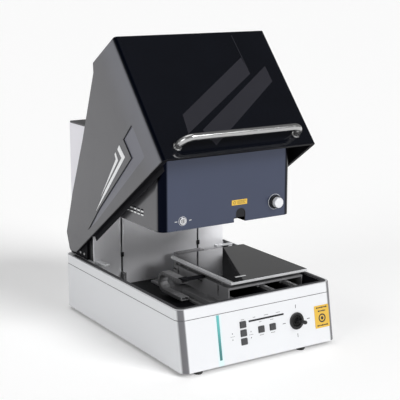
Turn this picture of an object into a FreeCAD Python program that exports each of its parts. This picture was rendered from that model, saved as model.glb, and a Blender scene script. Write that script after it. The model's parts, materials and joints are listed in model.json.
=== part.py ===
import FreeCAD, Part
import math
import os
from FreeCAD import Placement, Rotation, Vector

# Bench-top X-ray coating analyser, millimetres. +X right, +Y to the back, +Z up.
# The rest pose has the hood swung up and the stage at the front of its travel.

# ---- driving dimensions -------------------------------------------------------------------
WIDTH = 550.0
DEPTH = 760.0
FOOT_HEIGHT = 12.0
SEAM_Z = 160.0
RIM_Z = 191.0
FRONT_LEAN_DEG = 10.0
WALL = 4.0
CORNER_RADIUS = 25.0
CENTRE_SHIFT = 14.32          # moves the model so that its box is centred on the origin

OPENING_HALF_X = 256.0
OPENING_FRONT = -330.0
OPENING_BACK = 219.0
WELL_RADIUS = 15.0
DECK_Z = 94.0

COLUMN_FRONT = 216.0
CABINET_HALF_X = 246.0
CABINET_TOP = 636.0
SLOT_X = 147.0

HEAD_HALF_X = 235.0
HEAD_FRONT = -190.0
HEAD_BOTTOM = 375.0
HEAD_TOP = 600.0

HOOD_OPEN_DEG = 34.7
PIVOT_Y = 349.9
PIVOT_Z = 259.4
HOOD_HALF_X = 268.0
HOOD_SKIN = 5.0
FRONT_PANEL_THICK = 12.0
SHIELD_X = 250.5              # inner face of the shield strip that hangs into the well
SHIELD_DROP = 16.0

FEET = ((-215.0, -362.0), (150.0, -362.0), (-200.0, 345.0), (200.0, 345.0))

PLATE_TOP = 210.0
PLATE_X = (-31.0, 255.0)
PLATE_Y = (-255.0, 98.0)
RAIL_X = (100.0, 185.0)
CHAIN_RADIUS = 34.0
X_CHAIN = (8.0, 77.0, 163.0)
Y_CHAIN = (-93.0, 16.0, 155.0)
HOLDER_Y = (-112.0, -76.0)

BACK = DEPTH / 2
FRONT = -DEPTH / 2
HALF_X = WIDTH / 2
TAN_LEAN = math.tan(math.radians(FRONT_LEAN_DEG))
COS_LEAN = math.cos(math.radians(FRONT_LEAN_DEG))

X_AXIS = Vector(1, 0, 0)
Y_AXIS = Vector(0, 1, 0)
Z_AXIS = Vector(0, 0, 1)


# ---- helpers --------------------------------------------------------------------------------
def box(x0, x1, y0, y1, z0, z1):
    """A block between two corners."""
    return Part.makeBox(x1 - x0, y1 - y0, z1 - z0, Vector(x0, y0, z0))


def cylinder(radius, start, axis, length):
    return Part.makeCylinder(radius, length, Vector(*start), axis)


def tube(outer, inner, start, axis, length):
    return cylinder(outer, start, axis, length).cut(cylinder(inner, start, axis, length))


def prism_yz(points, x0, x1):
    """A side outline in Y and Z, pushed along X."""
    corners = [Vector(x0, y, z) for y, z in points]
    face = Part.Face(Part.makePolygon(corners + corners[:1]))
    return face.extrude(Vector(x1 - x0, 0, 0))


def fillet(shape, radius, wanted):
    """Round the edges whose two end points pass the test."""
    edges = [e for e in shape.Edges
             if len(e.Vertexes) == 2 and wanted(e.Vertexes[0].Point, e.Vertexes[1].Point)]
    return shape.makeFillet(radius, edges)


def upright(a, b):
    return abs(a.z - b.z) > 0.5 and abs(a.x - b.x) < 0.01


def upright_front(a, b):
    return upright(a, b) and a.y < 0


def along_x(a, b):
    return abs(a.x - b.x) > 1.0 and abs(a.y - b.y) < 0.01 and abs(a.z - b.z) < 0.01


def rounded_box(x0, x1, y0, y1, z0, z1, radius):
    return fillet(box(x0, x1, y0, y1, z0, z1), radius, upright)


def join(solids):
    result = solids[0]
    for solid in solids[1:]:
        result = result.fuse(solid)
    return result.removeSplitter()


def cut_all(shape, tools):
    for tool in tools:
        shape = shape.cut(tool)
    return shape


def both_sides(shape):
    """The shape and its mirror image across the centre plane."""
    return [shape, shape.mirror(Vector(0, 0, 0), X_AXIS)]


def front_y(z):
    """Where the leaning front face is at a height."""
    return FRONT + (z - FOOT_HEIGHT) * TAN_LEAN


def on_panel(shape):
    """Move a shape drawn flat to the front face: x across, y up the slope, z outwards."""
    moved = shape.copy()
    turn = Rotation(X_AXIS, 90.0 - FRONT_LEAN_DEG)
    moved.Placement = Placement(Vector(0, FRONT, FOOT_HEIGHT), turn).multiply(moved.Placement)
    return moved


def opened(shape):
    """Swing a hood piece, drawn closed, up to its rest pose."""
    moved = shape.copy()
    moved.rotate(Vector(0, PIVOT_Y, PIVOT_Z), X_AXIS, -HOOD_OPEN_DEG)
    return moved


def save(name, *solids):
    shapes = []
    for solid in solids:
        for piece in solid.Solids:
            piece = piece.copy()
            piece.translate(Vector(0, CENTRE_SHIFT, 0))
            shapes.append(piece)
    result = shapes[0] if len(shapes) == 1 else Part.makeCompound(shapes)
    result.exportStep("parts/" + name + ".step")


def body_block(inset, z0, z1):
    """The base's outer form between two heights, pulled in by an inset."""
    low, high = -20.0, 230.0
    lean = inset / COS_LEAN
    outline = [(front_y(low) + lean, low), (BACK - inset, low),
               (BACK - inset, high), (front_y(high) + lean, high)]
    block = prism_yz(outline, -HALF_X + inset, HALF_X - inset)
    block = fillet(block, CORNER_RADIUS - inset, upright)
    return block.common(box(-WIDTH, WIDTH, -DEPTH, DEPTH, z0, z1))


# ---- control panel layout: x across, y up the slope from the bottom edge -----------------------
BUTTON_SIZE = (20.0, 18.0)
BUTTON_STROKE = 2.0
BUTTONS = {
    "button_raise": (-61.0, 106.0),
    "button_stop": (-61.0, 81.0),
    "button_lower": (-61.0, 56.0),
    "button_start": (2.0, 81.0),
    "button_hood": (43.0, 81.0),
}
JOYSTICK = (132.0, 83.0)
LED = (-149.0, -141.0, 17.0, 148.0)
STATUS_BAR = (-40.0, 86.0, 109.5, 114.5)
WARNING_PLATE = (200.0, 255.0, 46.0, 115.0)


# ---- base -----------------------------------------------------------------------------------
def make_base():
    housing = body_block(0, FOOT_HEIGHT, SEAM_Z).cut(body_block(WALL, FOOT_HEIGHT - 1, SEAM_Z + 1))
    holes = []
    for x, y in BUTTONS.values():
        w, h = BUTTON_SIZE[0] + 0.8, BUTTON_SIZE[1] + 0.8
        holes.append(on_panel(box(x - w / 2, x + w / 2, y - h / 2, y + h / 2, -20, 5)))
    holes.append(on_panel(cylinder(19.0, (JOYSTICK[0], JOYSTICK[1], -20), Z_AXIS, 25)))
    for x0, x1, y0, y1 in (LED, STATUS_BAR):
        holes.append(on_panel(box(x0, x1, y0, y1, -1.5, 5)))
    save("base_housing", cut_all(housing, holes))

    plate = body_block(WALL + 0.2, FOOT_HEIGHT, FOOT_HEIGHT + 3)
    vents = [box(-120, 120, y - 3, y + 3, 0, 30) for y in range(-120, 121, 24)]
    save("bottom_plate", cut_all(plate, vents))

    save("feet", *[Part.makeCone(13.0, 15.0, FOOT_HEIGHT, Vector(x, y, 0)) for x, y in FEET])

    frame = body_block(0, SEAM_Z + 1, RIM_Z)
    opening = box(-OPENING_HALF_X, OPENING_HALF_X, OPENING_FRONT, OPENING_BACK,
                  SEAM_Z - 5, RIM_Z + 5)
    opening = fillet(opening, WELL_RADIUS, upright_front)
    skirt = body_block(WALL + 0.2, SEAM_Z - 10, SEAM_Z + 1)
    frame = frame.fuse(skirt.cut(body_block(WALL + 4, SEAM_Z - 12, SEAM_Z + 3)))
    frame = cut_all(frame, [opening, lift_well(SEAM_Z - 5, RIM_Z + 5), seal_strip(3.0, 5.0)])
    save("top_frame", frame)
    save("rim_seal", seal_strip(3.0, 1.0))

    deck = body_block(WALL + 0.3, DECK_Z - 4, DECK_Z)
    controls_room = box(-HALF_X, HALF_X, -DEPTH, OPENING_FRONT - 4, 0, 200)
    save("chamber_deck", cut_all(deck, [controls_room, box(-60, 60, 240, 300, 0, 200)]))

    skin = 3.0
    liner = box(-OPENING_HALF_X, OPENING_HALF_X, OPENING_FRONT, COLUMN_FRONT,
                DECK_Z, RIM_Z - skin)
    hollow = box(-OPENING_HALF_X + skin, OPENING_HALF_X - skin, OPENING_FRONT + skin,
                 COLUMN_FRONT + 1, DECK_Z - 1, RIM_Z)
    liner = fillet(liner, WELL_RADIUS, upright_front)
    hollow = fillet(hollow, WELL_RADIUS - skin, upright_front)
    save("well_liner", liner.cut(hollow))


def lift_well(z0, z1):
    """The hole in the rear deck that the lift passes through."""
    return box(-200, 200, OPENING_BACK - 1, 330, z0, z1)


def seal_strip(down, up):
    """A U of seal round the opening, from below the rim to above it."""
    outer = rounded_box(-OPENING_HALF_X - 12, OPENING_HALF_X + 12, OPENING_FRONT - 11,
                        OPENING_BACK + 140, RIM_Z - down, RIM_Z + up, 20.0)
    inner = rounded_box(-OPENING_HALF_X, OPENING_HALF_X, OPENING_FRONT, OPENING_BACK + 180,
                        RIM_Z - down - 1, RIM_Z + up + 1, WELL_RADIUS)
    return outer.cut(inner).cut(box(-300, 300, 335, 400, 0, 400))


def make_controls():
    x0, x1, y0, y1 = LED
    save("led_strip", on_panel(box(x0, x1, y0, y1, -1.5, 0.6)))
    x0, x1, y0, y1 = STATUS_BAR
    save("status_bar", on_panel(box(x0, x1, y0, y1, -1.5, 0.4)))
    x0, x1, y0, y1 = WARNING_PLATE
    save("warning_plate", on_panel(rounded_box(x0, x1, y0, y1, 0, 0.8, 3.0)))

    for name, (x, y) in BUTTONS.items():
        w, h = BUTTON_SIZE
        cap = fillet(box(x - w / 2, x + w / 2, y - h / 2, y + h / 2, -5, 3), 2.0, upright)
        stem = cylinder(3.0, (x, y, -12), Z_AXIS, 7.5)
        save(name, on_panel(cap.fuse(stem)))

    x, y = JOYSTICK
    board = box(-100, 175, 35, 122, -24, -22.4)
    board = board.cut(cylinder(16.0, (x, y, -30), Z_AXIS, 20))
    save("control_board", on_panel(board))

    flange = tube(26.0, 17.0, (x, y, 0), Z_AXIS, 3.0)
    flange = flange.fuse(tube(18.8, 17.0, (x, y, -14), Z_AXIS, 14.0))
    save("joystick_bezel", on_panel(flange.removeSplitter()))

    ball = Part.makeSphere(16.5, Vector(x, y, -8))
    core = Part.makeSphere(9.0, Vector(x, y, -8))
    cone = Part.makeCone(9.0, 14.5, 17.0, Vector(x, y, -6))
    bore = cylinder(2.2, (x, y - 17, -8), Y_AXIS, 34)
    ring = cut_all(ball, [core, cone, bore, box(x - 30, x + 30, y - 30, y + 30, -40, -13)])
    trunnions = [cylinder(2.5, (x + start, y, -8), X_AXIS, 3) for start in (-16.7, 13.7)]
    save("joystick_gimbal", on_panel(join([ring] + trunnions)))
    stick = Part.makeSphere(8.8, Vector(x, y, -8))
    stick = stick.fuse(cylinder(2.0, (x, y - 13, -8), Y_AXIS, 26))
    stick = stick.fuse(cylinder(3.5, (x, y, -8), Z_AXIS, 42))
    knob = cylinder(6.0, (x, y, 32), Z_AXIS, 14)
    knob = knob.makeFillet(2.0, [e for e in knob.Edges if len(e.Vertexes) == 1])
    save("joystick_stick", on_panel(stick.fuse(knob).removeSplitter()))


# ---- column and cabinet -----------------------------------------------------------------------
FAN = (120.0, 470.0)
INLET = (-150.0, 250.0)
SWITCH = (-95.0, 250.0)
ROCKER_Y = 369.0
ROCKER_TILT_DEG = 8.0


def make_column():
    panel = box(-250, 250, COLUMN_FRONT, COLUMN_FRONT + 3, DECK_Z, HEAD_TOP)
    slots = [box(x - 3, x + 3, COLUMN_FRONT - 1, COLUMN_FRONT + 5, DECK_Z + 6, HEAD_BOTTOM - 5)
             for x in (-SLOT_X, SLOT_X)]
    save("column_panel", cut_all(panel, slots))

    skin = 3.0
    half = CABINET_HALF_X
    shell = box(-half, half, COLUMN_FRONT + 3, BACK - skin, RIM_Z, CABINET_TOP - 6)
    shell = shell.cut(box(-half + skin, half - skin, 0, 400, RIM_Z + skin, 700))
    save("cabinet_shell", shell.cut(lift_well(RIM_Z - 5, RIM_Z + 10)))
    top = box(-half, half, COLUMN_FRONT, BACK, CABINET_TOP - 6, CABINET_TOP)
    front_strip = box(-half, half, COLUMN_FRONT, COLUMN_FRONT + 3, HEAD_TOP, CABINET_TOP - 6)
    top = top.fuse(front_strip).removeSplitter()
    save("cabinet_top", fillet(top, 4.0, lambda a, b: upright(a, b) and a.y > 300))

    rear = box(-half, half, BACK - skin, BACK, RIM_Z, CABINET_TOP - 6)
    vents = [box(-200, -60, 370, 390, z, z + 5) for z in range(420, 541, 15)]
    fan_hole = cylinder(56.0, (FAN[0], 370, FAN[1]), Y_AXIS, 20)
    inlet_hole = box(INLET[0] - 24, INLET[0] + 24, 370, 390, INLET[1] - 14, INLET[1] + 14)
    switch_hole = box(SWITCH[0] - 11, SWITCH[0] + 11, 370, 390, SWITCH[1] - 15, SWITCH[1] + 15)
    save("rear_panel", cut_all(rear, vents + [fan_hole, inlet_hole, switch_hole]))

    x, z = FAN
    frame = box(x - 60, x + 60, BACK - 28, BACK - 3, z - 60, z + 60)
    frame = frame.cut(cylinder(56.0, (x, BACK - 30, z), Y_AXIS, 30))
    strut = [box(x - 56.5, x + 56.5, BACK - 28, BACK - 25, z - 3, z + 3),
             box(x - 3, x + 3, BACK - 28, BACK - 25, z - 56.5, z + 56.5),
             cylinder(18.0, (x, BACK - 28, z), Y_AXIS, 3)]
    save("fan_frame", join([frame] + strut))
    hub = cylinder(18.0, (x, BACK - 24, z), Y_AXIS, 16)
    blades = []
    for k in range(7):
        blade = box(x - 1.2, x + 1.2, BACK - 23, BACK - 9, z + 14, z + 53)
        blade.rotate(Vector(x, BACK - 16, z), Z_AXIS, 38.0)
        blade.rotate(Vector(x, BACK - 16, z), Y_AXIS, k * 360.0 / 7)
        blades.append(blade)
    save("fan_rotor", join([hub] + blades))

    x, z = INLET
    inlet = box(x - 24, x + 24, BACK - 22, BACK, z - 14, z + 14)
    inlet = inlet.fuse(box(x - 29, x + 29, BACK, BACK + 3, z - 18, z + 18))
    inlet = inlet.cut(box(x - 13, x + 13, BACK - 16, BACK + 5, z - 9, z + 9))
    pins = [box(x + dx - 1, x + dx + 1, BACK - 17, BACK - 2, z - 2.5, z + 2.5) for dx in (-7, 0, 7)]
    save("power_inlet", join([inlet] + pins))
    x, z = SWITCH
    bezel = box(x - 11, x + 11, BACK - 20, BACK, z - 15, z + 15)
    bezel = bezel.fuse(box(x - 14, x + 14, BACK, BACK + 2, z - 18, z + 18))
    save("switch_bezel", bezel.cut(box(x - 8, x + 8, BACK - 18, BACK + 5, z - 12.5, z + 12.5)))
    outline = [(-5, -9), (-5, 9), (12, 9.5), (9, 0), (12, -9.5)]
    rocker = prism_yz([(ROCKER_Y + y, z + up) for y, up in outline], x - 7.5, x + 7.5)
    rocker = rocker.fuse(cylinder(2.5, (x - 7.9, ROCKER_Y, z), X_AXIS, 15.8))
    rocker.rotate(Vector(x, ROCKER_Y, z), X_AXIS, ROCKER_TILT_DEG)
    save("power_switch", rocker)

    for name, shapes in (("hinge_brackets", both_sides(hinge_bracket())),
                         ("hinge_pins", both_sides(hinge_pin()))):
        save(name, *shapes)


def hinge_bracket():
    plate = box(CABINET_HALF_X, CABINET_HALF_X + 9, 255, 374, RIM_Z + 2, RIM_Z + 100)
    plate = fillet(plate, 25.0, lambda a, b: along_x(a, b) and a.z > 250)
    return plate.cut(cylinder(8.0, (CABINET_HALF_X - 1, PIVOT_Y, PIVOT_Z), X_AXIS, 20))


def hinge_pin():
    return cylinder(8.0, (CABINET_HALF_X, PIVOT_Y, PIVOT_Z), X_AXIS, 16.2)


# ---- measuring head ----------------------------------------------------------------------------
NOTCH_X = (22.0, 62.0)
KNOB = (173.0, 422.0)
KEY = (-160.0, 403.0)
WINDOW = (30.0, 62.0, 388.0, 417.0)


def arch(x0, x1, z0, z1, y0, y1):
    """An upright slab with a round top."""
    radius = (x1 - x0) / 2
    slab = box(x0, x1, y0, y1, z0, z1 - radius)
    cap = cylinder(radius, ((x0 + x1) / 2, y0, z1 - radius), Y_AXIS, y1 - y0)
    return slab.fuse(cap).removeSplitter().common(box(x0, x1, y0, y1, z0, z1))


def make_head():
    half, skin = HEAD_HALF_X, 3.0
    outer = fillet(box(-half, half, HEAD_FRONT, COLUMN_FRONT, HEAD_BOTTOM, HEAD_TOP),
                   28.0, upright_front)
    inner = fillet(box(-half + skin, half - skin, HEAD_FRONT + skin, COLUMN_FRONT + 5,
                       HEAD_BOTTOM - 1, HEAD_TOP - skin), 25.0, upright_front)
    x0, x1, z0, z1 = WINDOW
    holes = [box(NOTCH_X[0], NOTCH_X[1], HEAD_FRONT - 1, HEAD_FRONT + 10, 0, WINDOW[2] + 1),
             arch(x0, x1, z0, z1, HEAD_FRONT - 1, HEAD_FRONT + 10),
             cylinder(6.0, (KNOB[0], HEAD_FRONT - 1, KNOB[1]), Y_AXIS, 20),
             cylinder(9.0, (KEY[0], HEAD_FRONT - 1, KEY[1]), Y_AXIS, 20)]
    for y in range(-90, 20, 22):
        for z in (412.0, 424.0):
            holes.append(box(-half - 1, half + 1, y, y + 14, z, z + 3))
    save("head_shell", cut_all(outer.cut(inner), holes))

    floor = fillet(box(-half + 3.2, half - 3.2, HEAD_FRONT + 3.2, COLUMN_FRONT, HEAD_BOTTOM,
                       HEAD_BOTTOM + 3), 24.8, upright_front)
    floor = floor.cut(box(NOTCH_X[0], NOTCH_X[1], HEAD_FRONT, -150, 370, 380))
    save("head_floor", floor.cut(cylinder(24.0, (42, -80, 370), Z_AXIS, 20)))

    window = arch(x0 + 0.2, x1 - 0.2, z0 + 1.2, z1 - 0.2, HEAD_FRONT + 0.5, HEAD_FRONT + 6)
    save("view_window", window)
    save("head_label", box(13, 69, HEAD_FRONT - 0.6, HEAD_FRONT, 428, 444))

    collar = tube(30.0, 23.0, (42, -80, HEAD_BOTTOM + 3), Z_AXIS, 12)
    tip = Part.makeCone(9.0, 22.0, 50, Vector(42, -80, HEAD_BOTTOM + 5), Z_AXIS)
    tip = tip.cut(cylinder(4.0, (42, -80, HEAD_BOTTOM), Z_AXIS, 60))
    save("collimator", collar, tip)

    tank = rounded_box(-40, 124, -150, 0, 540, HEAD_TOP - skin, 8.0)
    barrel = tube(38.0, 6.0, (42, -80, HEAD_BOTTOM + 55), Z_AXIS, 112)
    save("xray_tube", barrel.fuse(tank).removeSplitter())
    aim = Rotation(Y_AXIS, 40.0).multVec(Z_AXIS)
    detector = cylinder(11.0, (72, -80, 405), aim, 34)
    detector = detector.fuse(cylinder(24.0, (93.8, -80, 431), aim, 60))
    save("detector", detector.cut(cylinder(38.5, (42, -80, 400), Z_AXIS, 200)))
    aim = Rotation(Y_AXIS, -40.0).multVec(Z_AXIS)
    camera = cylinder(13.0, (10, -80, 408), aim, 34)
    camera = camera.fuse(cylinder(19.0, (-11.2, -80, 433), aim, 60))
    save("sample_camera", camera.cut(cylinder(38.5, (42, -80, 400), Z_AXIS, 200)))

    bore = (KEY[0], HEAD_FRONT - 3, KEY[1])
    bezel = tube(11.0, 6.5, bore, Y_AXIS, 3)
    save("key_bezel", bezel.fuse(tube(8.8, 6.5, bore, Y_AXIS, 16)).removeSplitter())
    plug = cylinder(6.4, (KEY[0], HEAD_FRONT - 4.5, KEY[1]), Y_AXIS, 16)
    slot = box(KEY[0] - 0.9, KEY[0] + 0.9, HEAD_FRONT - 6, HEAD_FRONT + 4, KEY[1] - 4, KEY[1] + 4)
    save("key_plug", plug.cut(slot))

    shaft_end = HEAD_FRONT + 16
    body = cylinder(20.5, (KNOB[0], HEAD_FRONT - 11, KNOB[1]), Y_AXIS, 10)
    shaft = cylinder(5.9, (KNOB[0], HEAD_FRONT - 2, KNOB[1]), Y_AXIS, shaft_end - HEAD_FRONT + 2)
    save("focus_knob", body.fuse(shaft).removeSplitter())
    cap = cylinder(16.5, (KNOB[0], HEAD_FRONT - 24, KNOB[1]), Y_AXIS, 13)
    rim = [e for e in cap.Edges if e.CenterOfMass.y < HEAD_FRONT - 23]
    save("knob_cap", cap.makeChamfer(2.0, rim))


# ---- lift and stage ------------------------------------------------------------------------------
def make_stage():
    rails = [box(x - 10, x + 10, 300, 318, DECK_Z, 590) for x in (-SLOT_X, SLOT_X)]
    save("lift_rails", *rails)

    arms = []
    for x in (-SLOT_X, SLOT_X):
        arm = box(x - 2, x + 2, 190, 250, 104, 150)
        block = box(x - 26, x + 26, 238, 322, 104, 168).cut(
            box(x - 10.3, x + 10.3, 299.7, 318.3, 100, 180))
        arms.append(arm.fuse(block))
    bridge = box(-SLOT_X, SLOT_X, 238, 262, 120, 150)
    save("lift_carriage", join(arms + [bridge]))

    base = box(-165, 240, -322, 190, 104, 112)
    beams = [box(x - 14, x + 14, -316, 50, 112, 168) for x in RAIL_X]
    beams.append(box(60, 230, -322, -316, 112, 168))
    guard = box(30, 135, 155, 180, 112, 196)
    guard = guard.cut(box(36, 129, 150, 174, 111, 190))
    save("stage_platform", join([base, guard] + beams))
    rail_shape = [box(x - 5, x + 5, -318, 46, 168, 178) for x in RAIL_X]
    save("y_rails", *rail_shape)

    skirts = [box(-29, -25, -238, 48, 138, 187), box(245, 249, -238, 48, 138, 187)]
    top = box(-29, 249, -238, 48, 181, 187)
    blocks = []
    for x in RAIL_X:
        for y in (-225.0, 5.0):
            blocks.append(box(x - 14, x + 14, y, y + 34, 170, 181).cut(
                box(x - 5.3, x + 5.3, y - 1, y + 35, 160, 178.3)))
    trough = [box(-29, 26, 46, 94, 125, 128), box(4, 26, 46, 58, 125, 187)]
    y0, y1 = HOLDER_Y
    x = Y_CHAIN[0]
    holder = [box(x - 15, x + 15, y0, y1, 190.5, 193), box(x + 15, -25, y0 + 8, y1 - 8, 187, 193)]
    carriage = join(skirts + [top] + blocks + trough + holder)
    windows = [box(-30, -24, -92, -34, 170, 175), box(-30, -24, -184, -176, 150, 188)]
    save("y_carriage", cut_all(carriage, windows))
    x_rail_shapes = [box(-20, 240, y - 4, y + 4, 187, 194) for y in (-190.0, 10.0)]
    save("x_rails", *x_rail_shapes)

    table = box(-25, 249, -236, 46, 195, 202)
    runners = []
    for y in (-190.0, 10.0):
        for x in (90.0, 200.0):
            runners.append(box(x, x + 40, y - 12, y + 12, 188, 195).cut(
                box(x - 1, x + 41, y - 4.3, y + 4.3, 180, 194.3)))
    tab = box(10, 110, 46, 92, 198, 202)
    save("x_table", join([table, tab] + runners))
    plate = box(PLATE_X[0], PLATE_X[1], PLATE_Y[0], PLATE_Y[1], 202, PLATE_TOP)
    groove = box(PLATE_X[0] + 9, PLATE_X[0] + 11, PLATE_Y[0] - 1, PLATE_Y[1] + 1, 208.5, 215)
    save("stage_plate", plate.cut(groove))

    x_loop = chain_loop(18.0)
    x_loop.translate(Vector(*X_CHAIN))
    save("x_chain", x_loop)
    y_loop = chain_loop(110.0)
    y_loop.rotate(Vector(0, 0, 0), Z_AXIS, -90)
    y_loop.translate(Vector(*Y_CHAIN))
    save("y_chain", y_loop)


def chain_loop(run):
    """A cable chain: two straight runs along +X joined by a half-round bend, links 12 high."""
    r_out, r_in = CHAIN_RADIUS, CHAIN_RADIUS - 12
    bend = tube(r_out, r_in, (0, -15, 0), Y_AXIS, 30)
    bend = bend.cut(box(0, 50, -20, 20, -50, 50))
    runs = [box(0, run, -15, 15, r_in, r_out), box(0, run, -15, 15, -r_out, -r_in)]
    return join([bend] + runs)


# ---- hood, drawn closed --------------------------------------------------------------------------
HOOD = {
    "front_low": (-355.0, 193.5), "front_high": (-308.0, 620.0), "top_back": (-141.0, 629.0),
    "lip": (-125.5, 603.6), "slope_a": (71.0, 472.0), "slope_b": (252.0, 363.0),
    "heel_high": (371.5, 279.0), "heel": (387.0, 217.0), "heel_low": (342.0, 193.5),
}


def face_offset(distance):
    """The front face's line, moved inwards, as its low and high points."""
    (y0, z0), (y1, z1) = HOOD["front_low"], HOOD["front_high"]
    length = math.hypot(y1 - y0, z1 - z0)
    dy, dz = (z1 - z0) / length * distance, -(y1 - y0) / length * distance
    return (y0 + dy, z0 + dz), (y1 + dy, z1 + dz)


def make_hood():
    inner_low, inner_high = face_offset(FRONT_PANEL_THICK)
    top_at = HOOD["front_high"][1] + (inner_high[0] - HOOD["front_high"][0]) * 9.0 / 167.0
    outline = [(inner_low[0], HOOD["front_low"][1]), (inner_high[0], top_at)]
    outline += [HOOD[k] for k in ("top_back", "lip", "slope_a", "slope_b", "heel_high",
                                  "heel", "heel_low")]
    side = prism_yz(outline, HOOD_HALF_X - HOOD_SKIN, HOOD_HALF_X)
    side = fillet(side, 14.0, lambda a, b: along_x(a, b) and a.y > 360)
    side = side.cut(facet_cutter())
    inside, foot = HOOD_HALF_X - HOOD_SKIN, HOOD["front_low"][1]
    y0, y1 = inner_low[0] + 1, COLUMN_FRONT - 4
    right = side.fuse(box(PLATE_X[1] + 1.5, inside, y0, y1, foot, foot + 3.5))
    left = side.mirror(Vector(0, 0, 0), X_AXIS)
    left = left.fuse(box(-inside, -SHIELD_X, y0, y1, foot, foot + 3.5))
    left = left.fuse(box(-SHIELD_X - 2, -SHIELD_X, OPENING_FRONT + WELL_RADIUS, y1,
                         foot - SHIELD_DROP, foot + 1))
    save("hood_side_right", opened(right.removeSplitter()))
    save("hood_side_left", opened(left.removeSplitter()))

    front = prism_yz([HOOD["front_low"], HOOD["front_high"], (inner_high[0], top_at),
                      (inner_low[0], HOOD["front_low"][1])], -HOOD_HALF_X, HOOD_HALF_X)
    front = fillet(front, 9.0, lambda a, b: abs(a.z - b.z) > 300 and min(a.y, b.y) < -350)
    save("hood_front_panel", opened(front))

    reach = HOOD_HALF_X - HOOD_SKIN
    start, back = (inner_high[0], top_at), HOOD["top_back"]
    lip = HOOD["lip"]
    top = prism_yz([start, back, lip, (lip[0] - 5, lip[1] - 1), (back[0] - 4, back[1] - 5),
                    (start[0], start[1] - 5)], -reach, reach)
    save("hood_top_panel", opened(top))

    inlays = []
    for outline in (WIDE_INLAY, THIN_INLAY):
        strip = prism_yz(outline, HOOD_HALF_X, HOOD_HALF_X + 0.8)
        inlays += [opened(s) for s in both_sides(strip)]
    save("hood_inlays", *inlays)
    save("hood_handle", opened(handle()))
    plate = box(HOOD_HALF_X - HOOD_SKIN - 6, HOOD_HALF_X - HOOD_SKIN, PIVOT_Y - 30, PIVOT_Y + 18,
                PIVOT_Z - 30, PIVOT_Z + 24)
    plate = fillet(plate, 10.0, along_x)
    plate = plate.cut(cylinder(8.05, (HOOD_HALF_X - 20, PIVOT_Y, PIVOT_Z), X_AXIS, 20))
    save("hood_hinge_plates", *[opened(s) for s in both_sides(plate)])


# The side's styling lines in Y and Z: the groove, and the outer edge of the facet beside it.
GROOVE = [(-245.0, 359.5), (-176.0, 348.5), (-187.5, 281.5), (100.5, 244.0), (214.0, 220.0)]
FACET_EDGE = [(-252.0, 345.0), (-262.5, 249.0), (145.0, 219.0)]
WIDE_INLAY = [(-144.0, 346.0), (-126.5, 340.5), (-134.0, 308.5), (20.0, 275.0), (122.0, 246.5),
              (11.0, 266.5), (-155.5, 300.5)]
THIN_INLAY = [(-110.5, 339.0), (-101.0, 336.5), (-99.5, 321.0), (64.0, 269.8), (-110.0, 311.5)]
FACET_DEPTH = 2.6


def facet_cutter():
    """A wedge that sinks the facet towards the groove."""
    deep, skin, above = HOOD_HALF_X - FACET_DEPTH, HOOD_HALF_X, HOOD_HALF_X + 1

    def points(outline, x):
        return [Vector(x, y, z) for y, z in outline]

    g0, g1, g2, g3, g4 = points(GROOVE, deep)
    f0, f1, f2 = points(FACET_EDGE, skin)
    floor = [(g0, g1, f0), (g1, g2, f0), (g2, f1, f0), (g2, g3, f1), (g3, f2, f1), (g3, g4, f2)]
    loop_low = [g0, g1, g2, g3, g4, f2, f1, f0]
    outline = GROOVE + FACET_EDGE[::-1]
    loop_high = points(outline, above)
    walls = []
    for i in range(len(outline)):
        j = (i + 1) % len(outline)
        walls.append((loop_low[i], loop_low[j], loop_high[j]))
        walls.append((loop_low[i], loop_high[j], loop_high[i]))
    faces = [Part.Face(Part.makePolygon([a, b, c, a])) for a, b, c in floor + walls]
    faces.append(Part.Face(Part.makePolygon(loop_high + loop_high[:1])))
    solid = Part.Solid(Part.Shell(faces))
    if solid.Volume < 0:
        solid.reverse()
    return solid


def handle():
    """A bow of round tube on the front face."""
    half, stand, radius, bend = 208.0, 46.0, 10.2, 35.0
    (y0, z0), (y1, z1) = HOOD["front_low"], HOOD["front_high"]
    length = math.hypot(y1 - y0, z1 - z0)
    up = Vector(0, (y1 - y0) / length, (z1 - z0) / length)
    out = Vector(0, -up.z, up.y)
    foot = Vector(0, y0, z0) + up * 38.0 + out * 0.05

    def at(x, d):
        return foot + X_AXIS * x + out * d

    middle = bend * (1 - math.sqrt(0.5))
    path = Part.Wire([
        Part.LineSegment(at(-half, 0), at(-half, stand - bend)).toShape(),
        Part.Arc(at(-half, stand - bend), at(-half + middle, stand - middle),
                 at(-half + bend, stand)).toShape(),
        Part.LineSegment(at(-half + bend, stand), at(half - bend, stand)).toShape(),
        Part.Arc(at(half - bend, stand), at(half - middle, stand - middle),
                 at(half, stand - bend)).toShape(),
        Part.LineSegment(at(half, stand - bend), at(half, 0)).toShape()])
    ring = Part.Wire([Part.makeCircle(radius, at(-half, 0), out)])
    bow = path.makePipeShell([ring], True, True)
    feet = [Part.makeCylinder(12.5, 2.0, at(x, 0), out) for x in (-half, half)]
    return join([bow] + feet)


def make_inside():
    supply = box(-240, -90, -150, 150, FOOT_HEIGHT + 3, 70)
    save("power_supply", fillet(supply, 3.0, upright))


def main():
    os.makedirs("parts", exist_ok=True)
    make_base()
    make_controls()
    make_column()
    make_head()
    make_stage()
    make_hood()
    make_inside()


main()
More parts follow.
